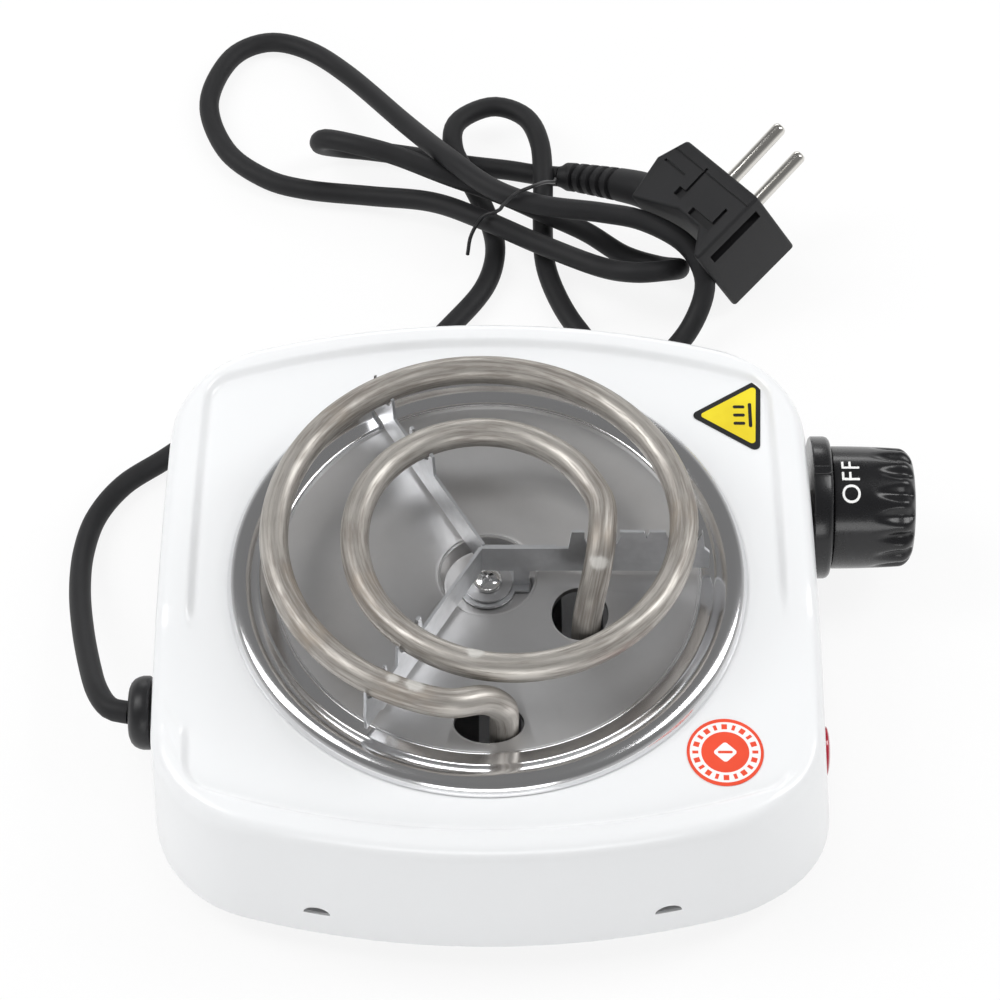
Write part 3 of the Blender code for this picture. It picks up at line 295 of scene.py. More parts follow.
def link(name, mesh, paint, body="root", sharp=35, bevel=0.0, slots=None):
    bmesh.ops.recalc_face_normals(mesh, faces=mesh.faces)
    data = bpy.data.meshes.new(name)
    mesh.to_mesh(data)
    mesh.free()
    data.materials.append(paint)
    data.shade_smooth()
    if sharp:
        data.set_sharp_from_angle(angle=math.radians(sharp))
    made = bpy.data.objects.new(name, data)
    scene.collection.objects.link(made)
    if bevel:
        edge = made.modifiers.new("edge", "BEVEL")
        edge.width = bevel
        edge.segments = 3
        edge.limit_method = "ANGLE"
        edge.angle_limit = math.radians(35)
        edge.harden_normals = False
    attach(made, body)
    return made


def skin(name, rings, paint, wrap=False, uvRuns=None, **more):
    mesh = bmesh.new()
    uv = mesh.loops.layers.uv.new("along") if uvRuns else None
    loops = [[mesh.verts.new(p) for p in ring] for ring in rings]
    pairs = list(zip(loops, loops[1:] + loops[:1])) if wrap else list(zip(loops, loops[1:]))
    for row, (low, high) in enumerate(pairs):
        count = max(len(low), len(high))
        for i in range(count):
            j = (i + 1) % count
            corners = [low[i % len(low)], low[j % len(low)], high[j % len(high)], high[i % len(high)]]
            face = mesh.faces.new(list(dict.fromkeys(corners)))
            if uv:
                spots = [(uvRuns[row], i / count), (uvRuns[row], (i + 1) / count),
                         (uvRuns[row + 1], (i + 1) / count), (uvRuns[row + 1], i / count)]
                for corner, spot in zip(face.loops, spots):
                    corner[uv].uv = spot
    if not wrap:
        for end in (loops[0], loops[-1]):
            if len(end) > 2:
                mesh.faces.new(end)
    return link(name, mesh, paint, **more)


def rectangle(left, low, right, high):
    return [(left, low), (right, low), (right, high), (left, high)]


def circle(radius, count, centre=Vector((0, 0, 0)), ratio=1.0):
    turn = 2 * math.pi / count
    return [centre + Vector((radius * math.cos(turn * i), radius * ratio * math.sin(turn * i), 0))
            for i in range(count)]


def turned(name, profile, paint, centre, count=96, wrap=False, **more):  # (radius, height) about +Z, in mm
    rings = []
    for radius, height in profile:
        spot = centre + Vector((0, 0, height * mm))
        rings.append(circle(radius * mm, count, spot) if radius > 0 else [spot])
    return skin(name, rings, paint, wrap, **more)


def turnedX(name, profile, paint, y, z, count=96, wrap=False, reach=None, **more):  # (radius, x) in metres
    rings = []
    for radius, x in profile:
        if radius <= 0:
            rings.append([Vector((x, y, z))])
            continue
        ring = []
        for i in range(count):
            turn = 2 * math.pi * i / count
            r = reach(radius, turn, x) if reach else radius
            ring.append(Vector((x, y + r * math.cos(turn), z + r * math.sin(turn))))
        rings.append(ring)
    return skin(name, rings, paint, wrap, **more)


def smoothRoute(points, step):
    ends = [2 * points[0] - points[1]] + points + [2 * points[-1] - points[-2]]
    fine = []
    for a, b, c, d in zip(ends, ends[1:], ends[2:], ends[3:]):
        for i in range(24):
            t = i / 24
            fine.append(0.5 * (2 * b + (c - a) * t + (2 * a - 5 * b + 4 * c - d) * t * t
                               + (3 * b - a - 3 * c + d) * t ** 3))
    fine.append(points[-1])
    run = [0.0]
    for a, b in zip(fine, fine[1:]):
        run.append(run[-1] + (b - a).length)
    count = max(2, round(run[-1] / step))
    even = []
    k = 0
    for i in range(count + 1):
        want = run[-1] * i / count
        while k < len(run) - 2 and run[k + 1] < want:
            k += 1
        share = (want - run[k]) / (run[k + 1] - run[k])
        even.append(fine[k].lerp(fine[k + 1], min(1, max(0, share))))
    return even


def tubeRings(points, radius, count=20, start=None, end=None):  # rings that don't twist along the way
    rings = []
    side = None
    runs = [0.0]
    for i, p in enumerate(points):
        ahead = (points[min(i + 1, len(points) - 1)] - points[max(i - 1, 0)]).normalized()
        if i == 0 and start:
            ahead = start
        if i == len(points) - 1 and end:
            ahead = end
        if side is None:
            side = ahead.orthogonal().normalized()
        side = (side - ahead * side.dot(ahead)).normalized()
        other = ahead.cross(side)
        r = radius(i / (len(points) - 1)) if callable(radius) else radius
        rings.append([p + side * (r * math.cos(2 * math.pi * k / count))
                      + other * (r * math.sin(2 * math.pi * k / count)) for k in range(count)])
        if i:
            runs.append(runs[-1] + (p - points[i - 1]).length * 100)
    return rings, runs


def cut(piece, mesh, name):
    bmesh.ops.recalc_face_normals(mesh, faces=mesh.faces)
    data = bpy.data.meshes.new(name)
    mesh.to_mesh(data)
    mesh.free()
    tool = bpy.data.objects.new(name, data)
    scene.collection.objects.link(tool)
    step = piece.modifiers.new(name, "BOOLEAN")
    step.operation = "DIFFERENCE"
    step.solver = "EXACT"
    step.object = tool
    return tool


def prismCut(piece, name, rings):
    mesh = bmesh.new()
    loops = [[mesh.verts.new(p) for p in ring] for ring in rings]
    for i in range(len(loops[0])):
        j = (i + 1) % len(loops[0])
        mesh.faces.new([loops[0][i], loops[0][j], loops[1][j], loops[1][i]])
    mesh.faces.new(loops[0])
    mesh.faces.new(loops[1])
    return cut(piece, mesh, name)


def applyAll(piece, tools):
    bpy.context.view_layer.update()
    solid = bpy.data.meshes.new_from_object(piece.evaluated_get(bpy.context.evaluated_depsgraph_get()))
    piece.modifiers.clear()
    piece.data = solid
    solid.set_sharp_from_angle(angle=math.radians(32))
    for tool in tools:
        bpy.data.objects.remove(tool)


# ---- camera, floor and light

view = {"lens": 126.0, "elevation": 53.493, "distance": 0.995357, "aim": (3.487, 26.423, 54.0)}


def makeCamera():
    data = bpy.data.cameras.new("camera")
    data.lens = view["lens"]
    data.sensor_width = 36
    data.clip_start = 0.05
    data.clip_end = 20
    made = bpy.data.objects.new("camera", data)
    scene.collection.objects.link(made)
    tilt = math.radians(view["elevation"])
    made.location = at(*view["aim"]) + view["distance"] * Vector((0, -math.cos(tilt), math.sin(tilt)))
    made.rotation_euler = (math.pi / 2 - tilt, 0, 0)
    scene.camera = made


studio = {"floor": (0.86, 0.86, 0.86), "floorShare": 0.85, "sky": 0.20, "horizon": 0.50}


def softBox(name, where, size, power, mirrored=True, aim=(0, 0, 0.04)):
    data = bpy.data.lights.new(name, "AREA")
    data.shape = "RECTANGLE"
    data.size, data.size_y = size
    data.energy = power
    made = bpy.data.objects.new(name, data)
    scene.collection.objects.link(made)
    made.location = where
    made.visible_glossy = mirrored
    made.rotation_euler = (Vector(aim) - Vector(where)).to_track_quat("-Z", "Y").to_euler()


def makeStudio():
    mesh = bmesh.new()
    for corner in ((-4, -4), (4, -4), (4, 4), (-4, 4)):
        mesh.verts.new((*corner, -0.0005))
    mesh.faces.new(mesh.verts)
    data = bpy.data.meshes.new("floor")
    mesh.to_mesh(data)
    mesh.free()
    floor = bpy.data.objects.new("floor", data)
    scene.collection.objects.link(floor)
    made = Paint("floorPaint", Roughness=0.9, Base_Color=studio["floor"])
    path = made.node("ShaderNodeLightPath")
    seen = Value(made, path.outputs["Is Camera Ray"]) + Value(made, path.outputs["Is Glossy Ray"])
    seen = (seen + Value(made, path.outputs["Is Transmission Ray"])) * studio["floorShare"]
    seen = seen * made.away((midX, 0, 0), True).between(0.07, 0.085)  # no glow beneath the plate
    glow = made.node("ShaderNodeEmission", {}, {"Color": (1, 1, 1), "Strength": 1.02})
    both = made.node("ShaderNodeMixShader", {}, [seen, made.shader.outputs[0], glow.outputs[0]])
    out = made.tree.nodes["Material Output"]
    made.tree.links.new(both.outputs[0], out.inputs[0])
    data.materials.append(made.made)
    world = bpy.data.worlds.new("studio")
    scene.world = world
    world.use_nodes = True
    tree = world.node_tree
    back = tree.nodes["Background"]
    back.inputs["Color"].default_value = (1, 1, 1, 1)
    coord = tree.nodes.new("ShaderNodeTexCoord")
    parts = tree.nodes.new("ShaderNodeSeparateXYZ")
    ramp = tree.nodes.new("ShaderNodeMapRange")
    ramp.interpolation_type = "SMOOTHSTEP"
    ramp.inputs["From Min"].default_value = 0.10
    ramp.inputs["From Max"].default_value = 0.55
    ramp.inputs["To Min"].default_value = studio["horizon"]
    ramp.inputs["To Max"].default_value = studio["sky"]
    lightPath = tree.nodes.new("ShaderNodeLightPath")
    pick = tree.nodes.new("ShaderNodeMix")
    tree.links.new(coord.outputs["Generated"], parts.inputs[0])
    tree.links.new(parts.outputs["Z"], ramp.inputs["Value"])
    tree.links.new(lightPath.outputs["Is Camera Ray"], pick.inputs[0])
    tree.links.new(ramp.outputs[0], pick.inputs[2])
    pick.inputs[3].default_value = 1.0
    tree.links.new(pick.outputs[0], back.inputs["Strength"])
    softBox("keyLeft", (-0.85, 0.1, 1.05), (0.5, 0.9), 8.4)
    softBox("keyRight", (0.85, 0.25, 1.0), (0.4, 0.9), 7.0)
    softBox("overhead", (0.1, 0.2, 1.5), (1.2, 1.2), 3.4, False)
    softBox("frontFill", (0.0, -1.6, 0.55), (1.3, 0.5), 7.0)
    softBox("rearLow", (-0.1, 1.5, 0.62), (1.1, 0.3), 4.0)
    scene.view_settings.view_transform = "Standard"


makeCamera()
makeStudio()
print("camera, floor and light made")

# ---- cord, tie and plug

cordSize = {"radius": 3.25, "tieRadius": 0.6}
cordRoute = [
    (-100.3, -30, 30), (-106, -28, 29.3), (-110.2, -21, 27), (-113.5, -9.9, 22.5), (-117.4, 7.7, 16),
    (-120.1, 25.7, 10.5), (-120.6, 42.7, 6), (-117.9, 57.4, 3.8), (-110.5, 69.5, 3.5), (-99, 79, 3.5),
    (-84, 91.5, 3.5), (-64, 103, 3.5), (-42, 112, 3.5), (-22, 121, 3.5), (-9.7, 134.7, 3.6),
    (-1, 148.4, 3.6), (2, 162.7, 3.8), (-0.5, 176, 4.8), (-6.2, 188.5, 8), (-11.6, 200.4, 10.6),
    (-10.2, 211.5, 11), (0.9, 218, 11.2), (11.5, 213.5, 11.3), (16.3, 202, 11.4), (17.3, 188, 8.5),
    (17.2, 173.6, 4.4), (17.8, 158, 3.6), (21.4, 144.1, 3.5), (27.5, 131, 3.5), (37, 118, 3.5),
    (50, 115, 3.8), (60.6, 124, 7), (66.6, 133.5, 14), (66.6, 139.5, 21), (60.6, 147.5, 25.5),
    (48.2, 154.5, 27.5), (35.1, 157.5, 28), (15.4, 161.2, 27.6), (0.6, 168.8, 27), (-12.8, 183.5, 24.6),
    (-26.6, 206.4, 15), (-46.9, 237.1, 6), (-61.3, 250.8, 3.8), (-74.8, 254.2, 3.5), (-86.5, 246.4, 3.5),
    (-92.5, 226.5, 3.5), (-86, 206.1, 3.5), (-73.1, 193.8, 3.6), (-59.3, 188.3, 4), (-38.8, 184.3, 5.5),
    (-18.3, 178.2, 9.4), (-1.9, 167.7, 12.9), (15.5, 157, 13.8), (34, 144.5, 17.5), (45, 138.5, 21.5),
    (55, 140.5, 20), (59.9, 147.5, 12.8), (54, 154.6, 5.6), (43, 160.5, 4), (31, 168, 6.6),
    (17, 171.6, 12), (3, 176, 16.2), (-13, 180.6, 19.4), (-30, 187, 22), (-43, 190.5, 23.3),
    (-52.5, 195, 20.8), (-54.5, 199.5, 13.4), (-49, 205.5, 5.2), (-38, 205.5, 3.5), (-22, 202.5, 3.5),
    (-7.6, 199.3, 3.5), (6, 197, 3.7), (15.5, 194.2, 4.6), (22.6, 192, 6.2)]
tieRoute = [(-6.8, 156.5, 9), (-5.6, 159, 15.5), (-1.9, 164.5, 18), (3, 164.5, 21), (4.8, 161.2, 27.9),
            (8.6, 161.2, 32.8), (13.5, 164, 32.8), (17.5, 171, 27), (20.6, 180, 17), (21.2, 186, 11.6)]
plugSize = {"at": (79.1, 163.9, 29.7), "width": 34, "thick": 35, "depth": 26.5, "cordAt": 17.5,
            "pinRadius": 2.2, "pinPitch": 19, "pinLength": 23, "pinTip": 1.6, "round": 3.2}


def wire(name, route, radius, paint, step):
    points = smoothRoute([at(*p) for p in route], step)
    data = bpy.data.curves.new(name, "CURVE")
    data.dimensions = "3D"
    data.bevel_depth = radius
    data.bevel_resolution = 8
    data.use_fill_caps = True
    spline = data.splines.new("POLY")
    spline.points.add(len(points) - 1)
    for slot, p in zip(spline.points, points):
        slot.co = (*p, 1)
    data.materials.append(paint)
    made = bpy.data.objects.new(name, data)
    scene.collection.objects.link(made)
    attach(made, "root")
    print(name, "length", round(sum((b - a).length for a, b in zip(points, points[1:])), 4))
    return made


def plugPlace():  # x along the pins, -y towards the cord
    pins = Vector((0.687, 0.585, 0.433)).normalized()
    side = Vector((0.612, -0.787, 0.091))
    side = (side - pins * side.dot(pins)).normalized()
    turn = Matrix((pins, side, pins.cross(side))).transposed().to_4x4()
    return Matrix.Translation(at(*plugSize["at"])) @ turn


def makePlug():
    place = plugPlace()
    half = plugSize["width"] / 2
    back = plugSize["depth"] - 8
    middle = plugSize["cordAt"]
    outline = [(0, -half), (0, half), (-plugSize["depth"], half - 0.8), (-plugSize["depth"], half - 3),
               (-back, half - 9), (-back, -2), (-middle - 7.5, -half - 1), (-middle + 7.5, -half - 4)]
    thick = plugSize["thick"] / 2
    mesh = bmesh.new()
    layers = []
    for w in (-thick, thick):
        layers.append([mesh.verts.new(place @ (Vector((u, v, w)) * mm)) for u, v in outline])
    for i in range(len(outline)):
        j = (i + 1) % len(outline)
        mesh.faces.new([layers[0][i], layers[0][j], layers[1][j], layers[1][i]])
    mesh.faces.new(layers[0])
    mesh.faces.new(layers[1])
    body = link("plugBody", mesh, paints["plug"], bevel=plugSize["round"] * mm, slots="plug_black")
    body.modifiers["edge"].segments = 5
    tools = []
    pockets = ((-13, -3, -4.4, -3.4, 1.0, 0), (-15.5, -12.5, -7, -3.4, 1.6, 0), (-17.5, -15, 2, 12, 1.4, 0),
               (-17.5, -9, 11, 12.2, 1.2, 0), (-9.4, -8.6, -18, -8.5, 0.8, 0), (-4.6, -4, -18, 18, 0.5, 0),
               (-23, -3, 13.5, 18, 4.0, 4.5))
    for i, (uLow, uHigh, vLow, vHigh, deep, down) in enumerate(pockets):  # moulded grooves and recesses
        shape = rectangle(uLow, vLow, uHigh, vHigh)
        top = -thick - 1 if not down else -thick + down
        rings = [[place @ (Vector((u, v, w)) * mm) for u, v in shape] for w in (top, -thick + deep + down)]
        tools.append(prismCut(body, f"plugPocket{i}", rings))
    applyAll(body, tools)
    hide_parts("plug_body")
    pins = []
    for i, side in enumerate((-1, 1)):
        rings = []
        length, radius, pitch = plugSize["pinLength"], plugSize["pinRadius"], plugSize["pinPitch"]
        tip = plugSize["pinTip"]
        shape = [(0.3, radius), (length - tip, radius)]
        for a in (0.4, 0.8, 1.2, 1.57):
            shape.append((length - tip + tip * math.sin(a), radius * (0.35 + 0.65 * math.cos(a))))
        for x, r in shape:
            rings.append([place @ (Vector((x, r * math.cos(t), side * pitch / 2 + r * math.sin(t))) * mm)
                          for t in [2 * math.pi * k / 32 for k in range(32)]])
        pin = skin(f"plugPin{i + 1}", rings, paints["nickel"], slots="nickel")
        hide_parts(f"plug_pin_{i + 1}")
        pins.append(pin)
    out = place.to_3x3() @ Vector((-3, -15, 0)).normalized()
    start = place @ (Vector((-middle, -half - 2.5, 0)) * mm) + out * 0.45 * mm
    end, before = at(*cordRoute[-1]), at(*cordRoute[-2])
    along = (end - before).normalized()
    first = end + along * 0.3 * mm
    route = smoothRoute([first, first + along * 7 * mm, start + out * 10 * mm, start], 0.25 * mm)

    def ribs(share):
        ripple = 0.5 + 0.5 * math.cos(2 * math.pi * 10 * share)
        ribbed = smoothStep(0.08, 0.1, share) * (1 - smoothStep(0.6, 0.61, share))
        groove = 1.25 * (1 - smoothStep(0.28, 0.42, ripple)) * ribbed
        return (3.4 + 1.1 * smoothStep(0, 0.06, share) + 1.5 * share - groove) * mm

    rings, _ = tubeRings(route, ribs, 32, along, -out)
    sleeve = skin("plugSleeve", rings, paints["plug"], slots="plug_black")
    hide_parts("plug_sleeve")
    return [body, sleeve] + pins


powerCord = wire("powerCord", cordRoute, cordSize["radius"] * mm, paints["cord"], 2.2 * mm)
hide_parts("power_cord")
twistTie = wire("twistTie", tieRoute, cordSize["tieRadius"] * mm, paints["tie"], 1.5 * mm)
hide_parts("twist_tie")
plugPieces = makePlug()
at(*cordRoute[0])
[twistTie] + plugPieces
print("cord and plug made")

# ---- shell

shell = {
    "halfX": 92.5, "halfY": 91.5, "sideR": 1600, "frontR": 245, "cornerR": 34, "flare": 1.6, "sheet": 0.8,
    "skirt": 9.5, "panel": 54, "raise": 2.0, "border": (8.5, 7.0), "slope": 2.6, "slopeCorner": 20,
    "fillet": 4, "lean": 3.0,
    "hole": 58, "leftGap": (-51, -14, 7), "rightGap": (-66, -9, 16), "slots": (-46.5, 49.5), "slotZ": 20.5,
}


def cornerOf(radius):
    side = Vector((shell["halfX"] - shell["sideR"], 0))
    front = Vector((0, shell["halfY"] - shell["frontR"]))
    a, b = shell["sideR"] - radius, shell["frontR"] - radius
    span = (front - side).length
    along = (a * a - b * b + span * span) / (2 * span)
    rise = math.sqrt(a * a - along * along)
    axis = (front - side) / span
    centre = side + axis * along + Vector((-axis.y, axis.x)) * rise
    if centre.y < 0:
        centre = side + axis * along - Vector((-axis.y, axis.x)) * rise
    return side, front, centre


def outline(offset, cornerR=None):  # flat points in mm, anticlockwise from the knob side
    cornerR = cornerR or shell["cornerR"]
    side, front, centre = cornerOf(cornerR)
    first = math.atan2(centre.y, centre.x - side.x)
    second = math.atan2(centre.y - front.y, centre.x)
    quarter = []
    for start, stop, count, middle, radius in ((0, first, 26, side, shell["sideR"]),
                                               (first, second, 14, centre, cornerR),
                                               (second, math.pi / 2, 14, front, shell["frontR"])):
        for i in range(count):
            turn = start + (stop - start) * i / count
            quarter.append(middle + (radius + offset) * Vector((math.cos(turn), math.sin(turn))))
    quarter.append(front + (shell["frontR"] + offset) * Vector((0, 1)))
    upper = quarter + [Vector((-p.x, p.y)) for p in reversed(quarter[:-1])]
    return upper + [Vector((p.x, -p.y)) for p in reversed(upper[1:-1])]


def borderAt(p):  # 1 where the border stands, 0 in its two gaps
    low, high, run = shell["leftGap"] if p.x < 0 else shell["rightGap"]
    if abs(p.x) < 70:
        return 1.0
    into = smoothStep(low - run / 2, low + run / 2, p.y)
    out = 1 - smoothStep(high - run / 2, high + run / 2, p.y)
    return 1 - into * out


def makeShell():
    fillet, panel, raised = shell["fillet"], shell["panel"], shell["raise"]

    def lean(p, share):  # the knob side's foot stands out a little further at the front
        near = smoothStep(0.8, 1, p.x / shell["halfX"])
        return p.x + shell["lean"] * share * near * (1 - smoothStep(-60, 40, p.y))

    def layer(inset):
        rows = [(shell["flare"] - inset, 1, shell["skirt"], 0, None, 1),
                (shell["flare"] * 0.5 - inset, 1, (shell["skirt"] + panel - fillet) / 2, 0, None, 0.55),
                (-inset, 1, panel - fillet, 0, None, 0.1)]
        for i in range(1, 8):
            turn = math.radians(90 * i / 7)
            back = fillet * (1 - math.cos(turn)) + inset * math.cos(turn)
            height = panel - fillet + (fillet - inset) * math.sin(turn)
            rows.append((-back, 1, height, math.sin(turn) ** 0.7, None, 0))
        wide, deep = shell["border"]
        for share in (-0.15, 0, 0.17, 0.33, 0.5, 0.67, 0.83, 1, 1.3):
            run = shell["slope"] * share
            squeeze = (shell["halfY"] - deep - run) / (shell["halfY"] - wide - run)
            drop = 1 - smoothStep(0, 1, share)
            rows.append((-wide - run, squeeze, panel - inset, drop, shell["slopeCorner"], 0))
        rings = []
        for offset, squeeze, z, lift, corner, side in rows:
            rings.append([at(lean(p, side), p.y * squeeze, z + raised * lift * borderAt(p))
                          for p in outline(offset, corner)])
        return rings

    hole = []
    for radius, z in ((2, panel), (0, panel), (0, panel - shell["sheet"]), (2, panel - shell["sheet"])):
        hole.append([at(*(p.normalized() * (shell["hole"] + radius)), z) for p in outline(0)])
    rings = layer(0) + hole + list(reversed(layer(shell["sheet"])))
    made = skin("shell", rings, paints["enamel"], wrap=True, sharp=50, slots="paint")
    tools = []
    for i, x in enumerate(shell["slots"]):
        half, rise = 3.7, 3.2
        shape = [(-half, 0)] + [(-half * math.cos(t), rise * math.sin(t)) for t in
                                [math.pi * k / 14 for k in range(1, 14)]] + [(half, 0)]
        rings = [[at(x + u, y, shell["slotZ"] - 1.5 + v) for u, v in shape] for y in (-100, -84)]
        tools.append(prismCut(made, f"slotCut{i}", rings))
    for name, x, y, radius in (("gland", -92, -30, 8.3), ("bush", 92, 41.5, 5.3), ("lamp", 92, -43, 5.8)):
        rings = [[at(x + end, y + radius * math.cos(t), 30 + radius * math.sin(t)) for t in
                  [2 * math.pi * k / 40 for k in range(40)]] for end in (-10, 10)]
        tools.append(prismCut(made, f"{name}Cut", rings))
    for i, x in enumerate((-50, 50)):
        rings = [[at(x + 1.8 * math.cos(t), y, 15.5 + 1.8 * math.sin(t)) for t in
                  [2 * math.pi * k / 24 for k in range(24)]] for y in (84, 100)]
        tools.append(prismCut(made, f"screwCut{i}", rings))
    applyAll(made, tools)
    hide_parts("housing")


makeShell()
print("shell made")

# ---- drip pan

pan = {"rim": 72.8, "drop": 1.3, "well": 13.8, "deep": 5.5, "sheet": 0.5,
       "holes": ((0.5, -49.4, 9.6, 6.5), (25.7, -13.4, 7.9, 8.8))}


def makePan():
    panel = shell["panel"]
    bead = [(0, 0.3), (-0.1, 0.8), (-0.45, 1.7), (-1.0, 2.55), (-1.7, 3.15), (-2.6, 3.55), (-3.6, 3.75),
            (-4.6, 3.8), (-5.6, 3.65), (-6.6, 3.35), (-7.6, 2.9), (-8.4, 2.45), (-9.0, 2.15), (-9.6, 2.0)]
    upper = [(pan["rim"] + x, panel + z) for x, z in bead]
    ledge = panel + 2
    inner = pan["rim"] - 9.6
    upper += [(inner - 2.9, ledge), (inner - 3.3, ledge - 0.1), (inner - 3.7, ledge - 0.4)]
    floor = ledge - pan["drop"]
    upper += [(inner - 4.1, floor + 0.25), (inner - 5.0, floor), (pan["well"] + 1.0, floor),
              (pan["well"] + 0.2, floor - 0.2), (pan["well"] - 0.3, floor - 0.8),
              (pan["well"] - 1.2, floor - pan["deep"] + 0.7),
              (pan["well"] - 1.6, floor - pan["deep"] + 0.2), (pan["well"] - 2.4, floor - pan["deep"]),
              (2.3, floor - pan["deep"])]
    sheet = pan["sheet"]
    lower = [(2.3, floor - pan["deep"] - sheet), (pan["well"] - 1.8, floor - pan["deep"] - sheet),
             (pan["well"] - 0.6, floor - sheet), (inner - 5.2, floor - sheet), (inner - 3.9, ledge - sheet),
             (inner - 0.2, ledge - sheet)]
    lower += [(pan["rim"] + x + 0.05, panel + z - sheet) for x, z in reversed(bead[3:-1])]
    lower.append((pan["rim"] - 0.7, panel + 0.3))
    made = turned("dripPan", upper + lower, paints["pan"], at(0, 0, 0), 160, wrap=True, sharp=60,
                  slots="chrome_pan")
    tools = []
    for i, (x, y, wide, long) in enumerate(pan["holes"]):
        rings = [circle(wide * mm, 48, at(x, y, z), long / wide) for z in (floor - 4, floor + 6)]
        tools.append(prismCut(made, f"legCut{i}", rings))
    applyAll(made, tools)
    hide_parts("drip_pan")
    for i, (x, y, wide, long) in enumerate(pan["holes"]):  # turned-down lip of each hole
        rings = []
        for grow, drop in ((0.35, -0.02), (0.02, 0.12), (-0.1, 1.6), (0.3, 1.6), (0.4, 0.7)):
            ratio = (long + grow) / (wide + grow)
            rings.append(circle((wide + grow) * mm, 48, at(x, y, floor - drop), ratio))
        skin(f"holeLip{i + 1}", rings, paints["pan"], wrap=True, slots="chrome_pan")


makePan()
print("drip pan made")

# ---- heating coil

coil = {"radius": 4.0, "lift": 20, "x": -1.8, "y": 0.8, "inner": 34.6, "outer": 57.0, "step": (172, 388),
        "span": (14, 612), "legZ": 34}


def coilPoint(angle):
    radius = coil["inner"] + (coil["outer"] - coil["inner"]) * smoothStep(*coil["step"], angle)
    turn = math.radians(angle)
    x = coil["x"] + radius * math.cos(turn)
    y = coil["y"] + radius * math.sin(turn)
    return at(x, y, shell["panel"] + coil["lift"])


def makeCoil():
    top = shell["panel"] + coil["lift"]
    panel = shell["panel"]
    route = [at(27.3, -16, coil["legZ"]), at(27.3, -16, 44), at(27.5, -15.8, panel),
             at(28.5, -13.5, panel + 8), at(30.3, -8, top - 5.5), at(31.5, -1, top - 1)]
    route += [coilPoint(a) for a in range(coil["span"][0], coil["span"][1] + 1, 13)]
    route += [at(-9.8, -55.6, top), at(-1, -52.5, top - 3), at(3.6, -51.3, top - 8), at(4.6, -50.6, top - 13),
              at(4.6, -50.4, panel), at(4.6, -50.4, coil["legZ"])]
    points = smoothRoute(route, 1.6 * mm)
    rings, runs = tubeRings(points, coil["radius"] * mm, 28)
    made = skin("heatingCoil", rings, paints["tube"], uvRuns=runs, slots="tube_steel")
    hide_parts("heating_coil")


def makeScrew():  # pan head with a cross recess
    low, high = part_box("centre_screw")
    head = high.z - 2.5 * mm
    washerLow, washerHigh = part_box("centre_washer")
    size = min(4.2 * mm, (washerHigh.x - washerLow.x) / 2 * 0.72)
    shape = [(0, low.z), (2 * mm, low.z), (2 * mm, head), (size, head), (size, head + 0.5 * mm)]
    for a in range(12, 90, 12):
        turn = math.radians(a)
        shape.append((size * math.cos(turn), head + (0.5 + 1.9 * math.sin(turn)) * mm))
    shape.append((0, head + 2.4 * mm))
    profile = [(r / mm, z / mm) for r, z in shape]
    made = turned("centreScrew", profile, paints["screw"], at(0, 0, 0), 48, slots="zinc_steel")
    tools = []
    for i in range(2):
        turn = Matrix.Rotation(math.radians(28 + 90 * i), 3, "Z")
        rings = []
        for z, reach in ((head + 0.9 * mm, 1.1), (head + 4 * mm, 2.7)):
            flat = [Vector((u * mm, v * mm, z)) for u, v in rectangle(-reach, -0.4, reach, 0.4)]
            rings.append([at(0, 0, 0) + turn @ p for p in flat])
        tools.append(prismCut(made, f"cross{i}", rings))
    applyAll(made, tools)
    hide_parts("centre_screw")


makeCoil()
makeScrew()
print("coil and screw made")

# ---- knob, collar, lamp and gland

knob = {"y": 41.5, "z": 30, "radius": 17.9, "flutes": 16, "depth": 1.5, "round": 5.2, "taper": 0.6,
        "collar": 20.8, "letter": 7.5, "letterTurn": 101.0, "letterAt": 5.2}

lamp = {"y": -43, "z": 30, "radius": 7.2, "stem": 5.5}
gland = {"y": -30, "z": 30}


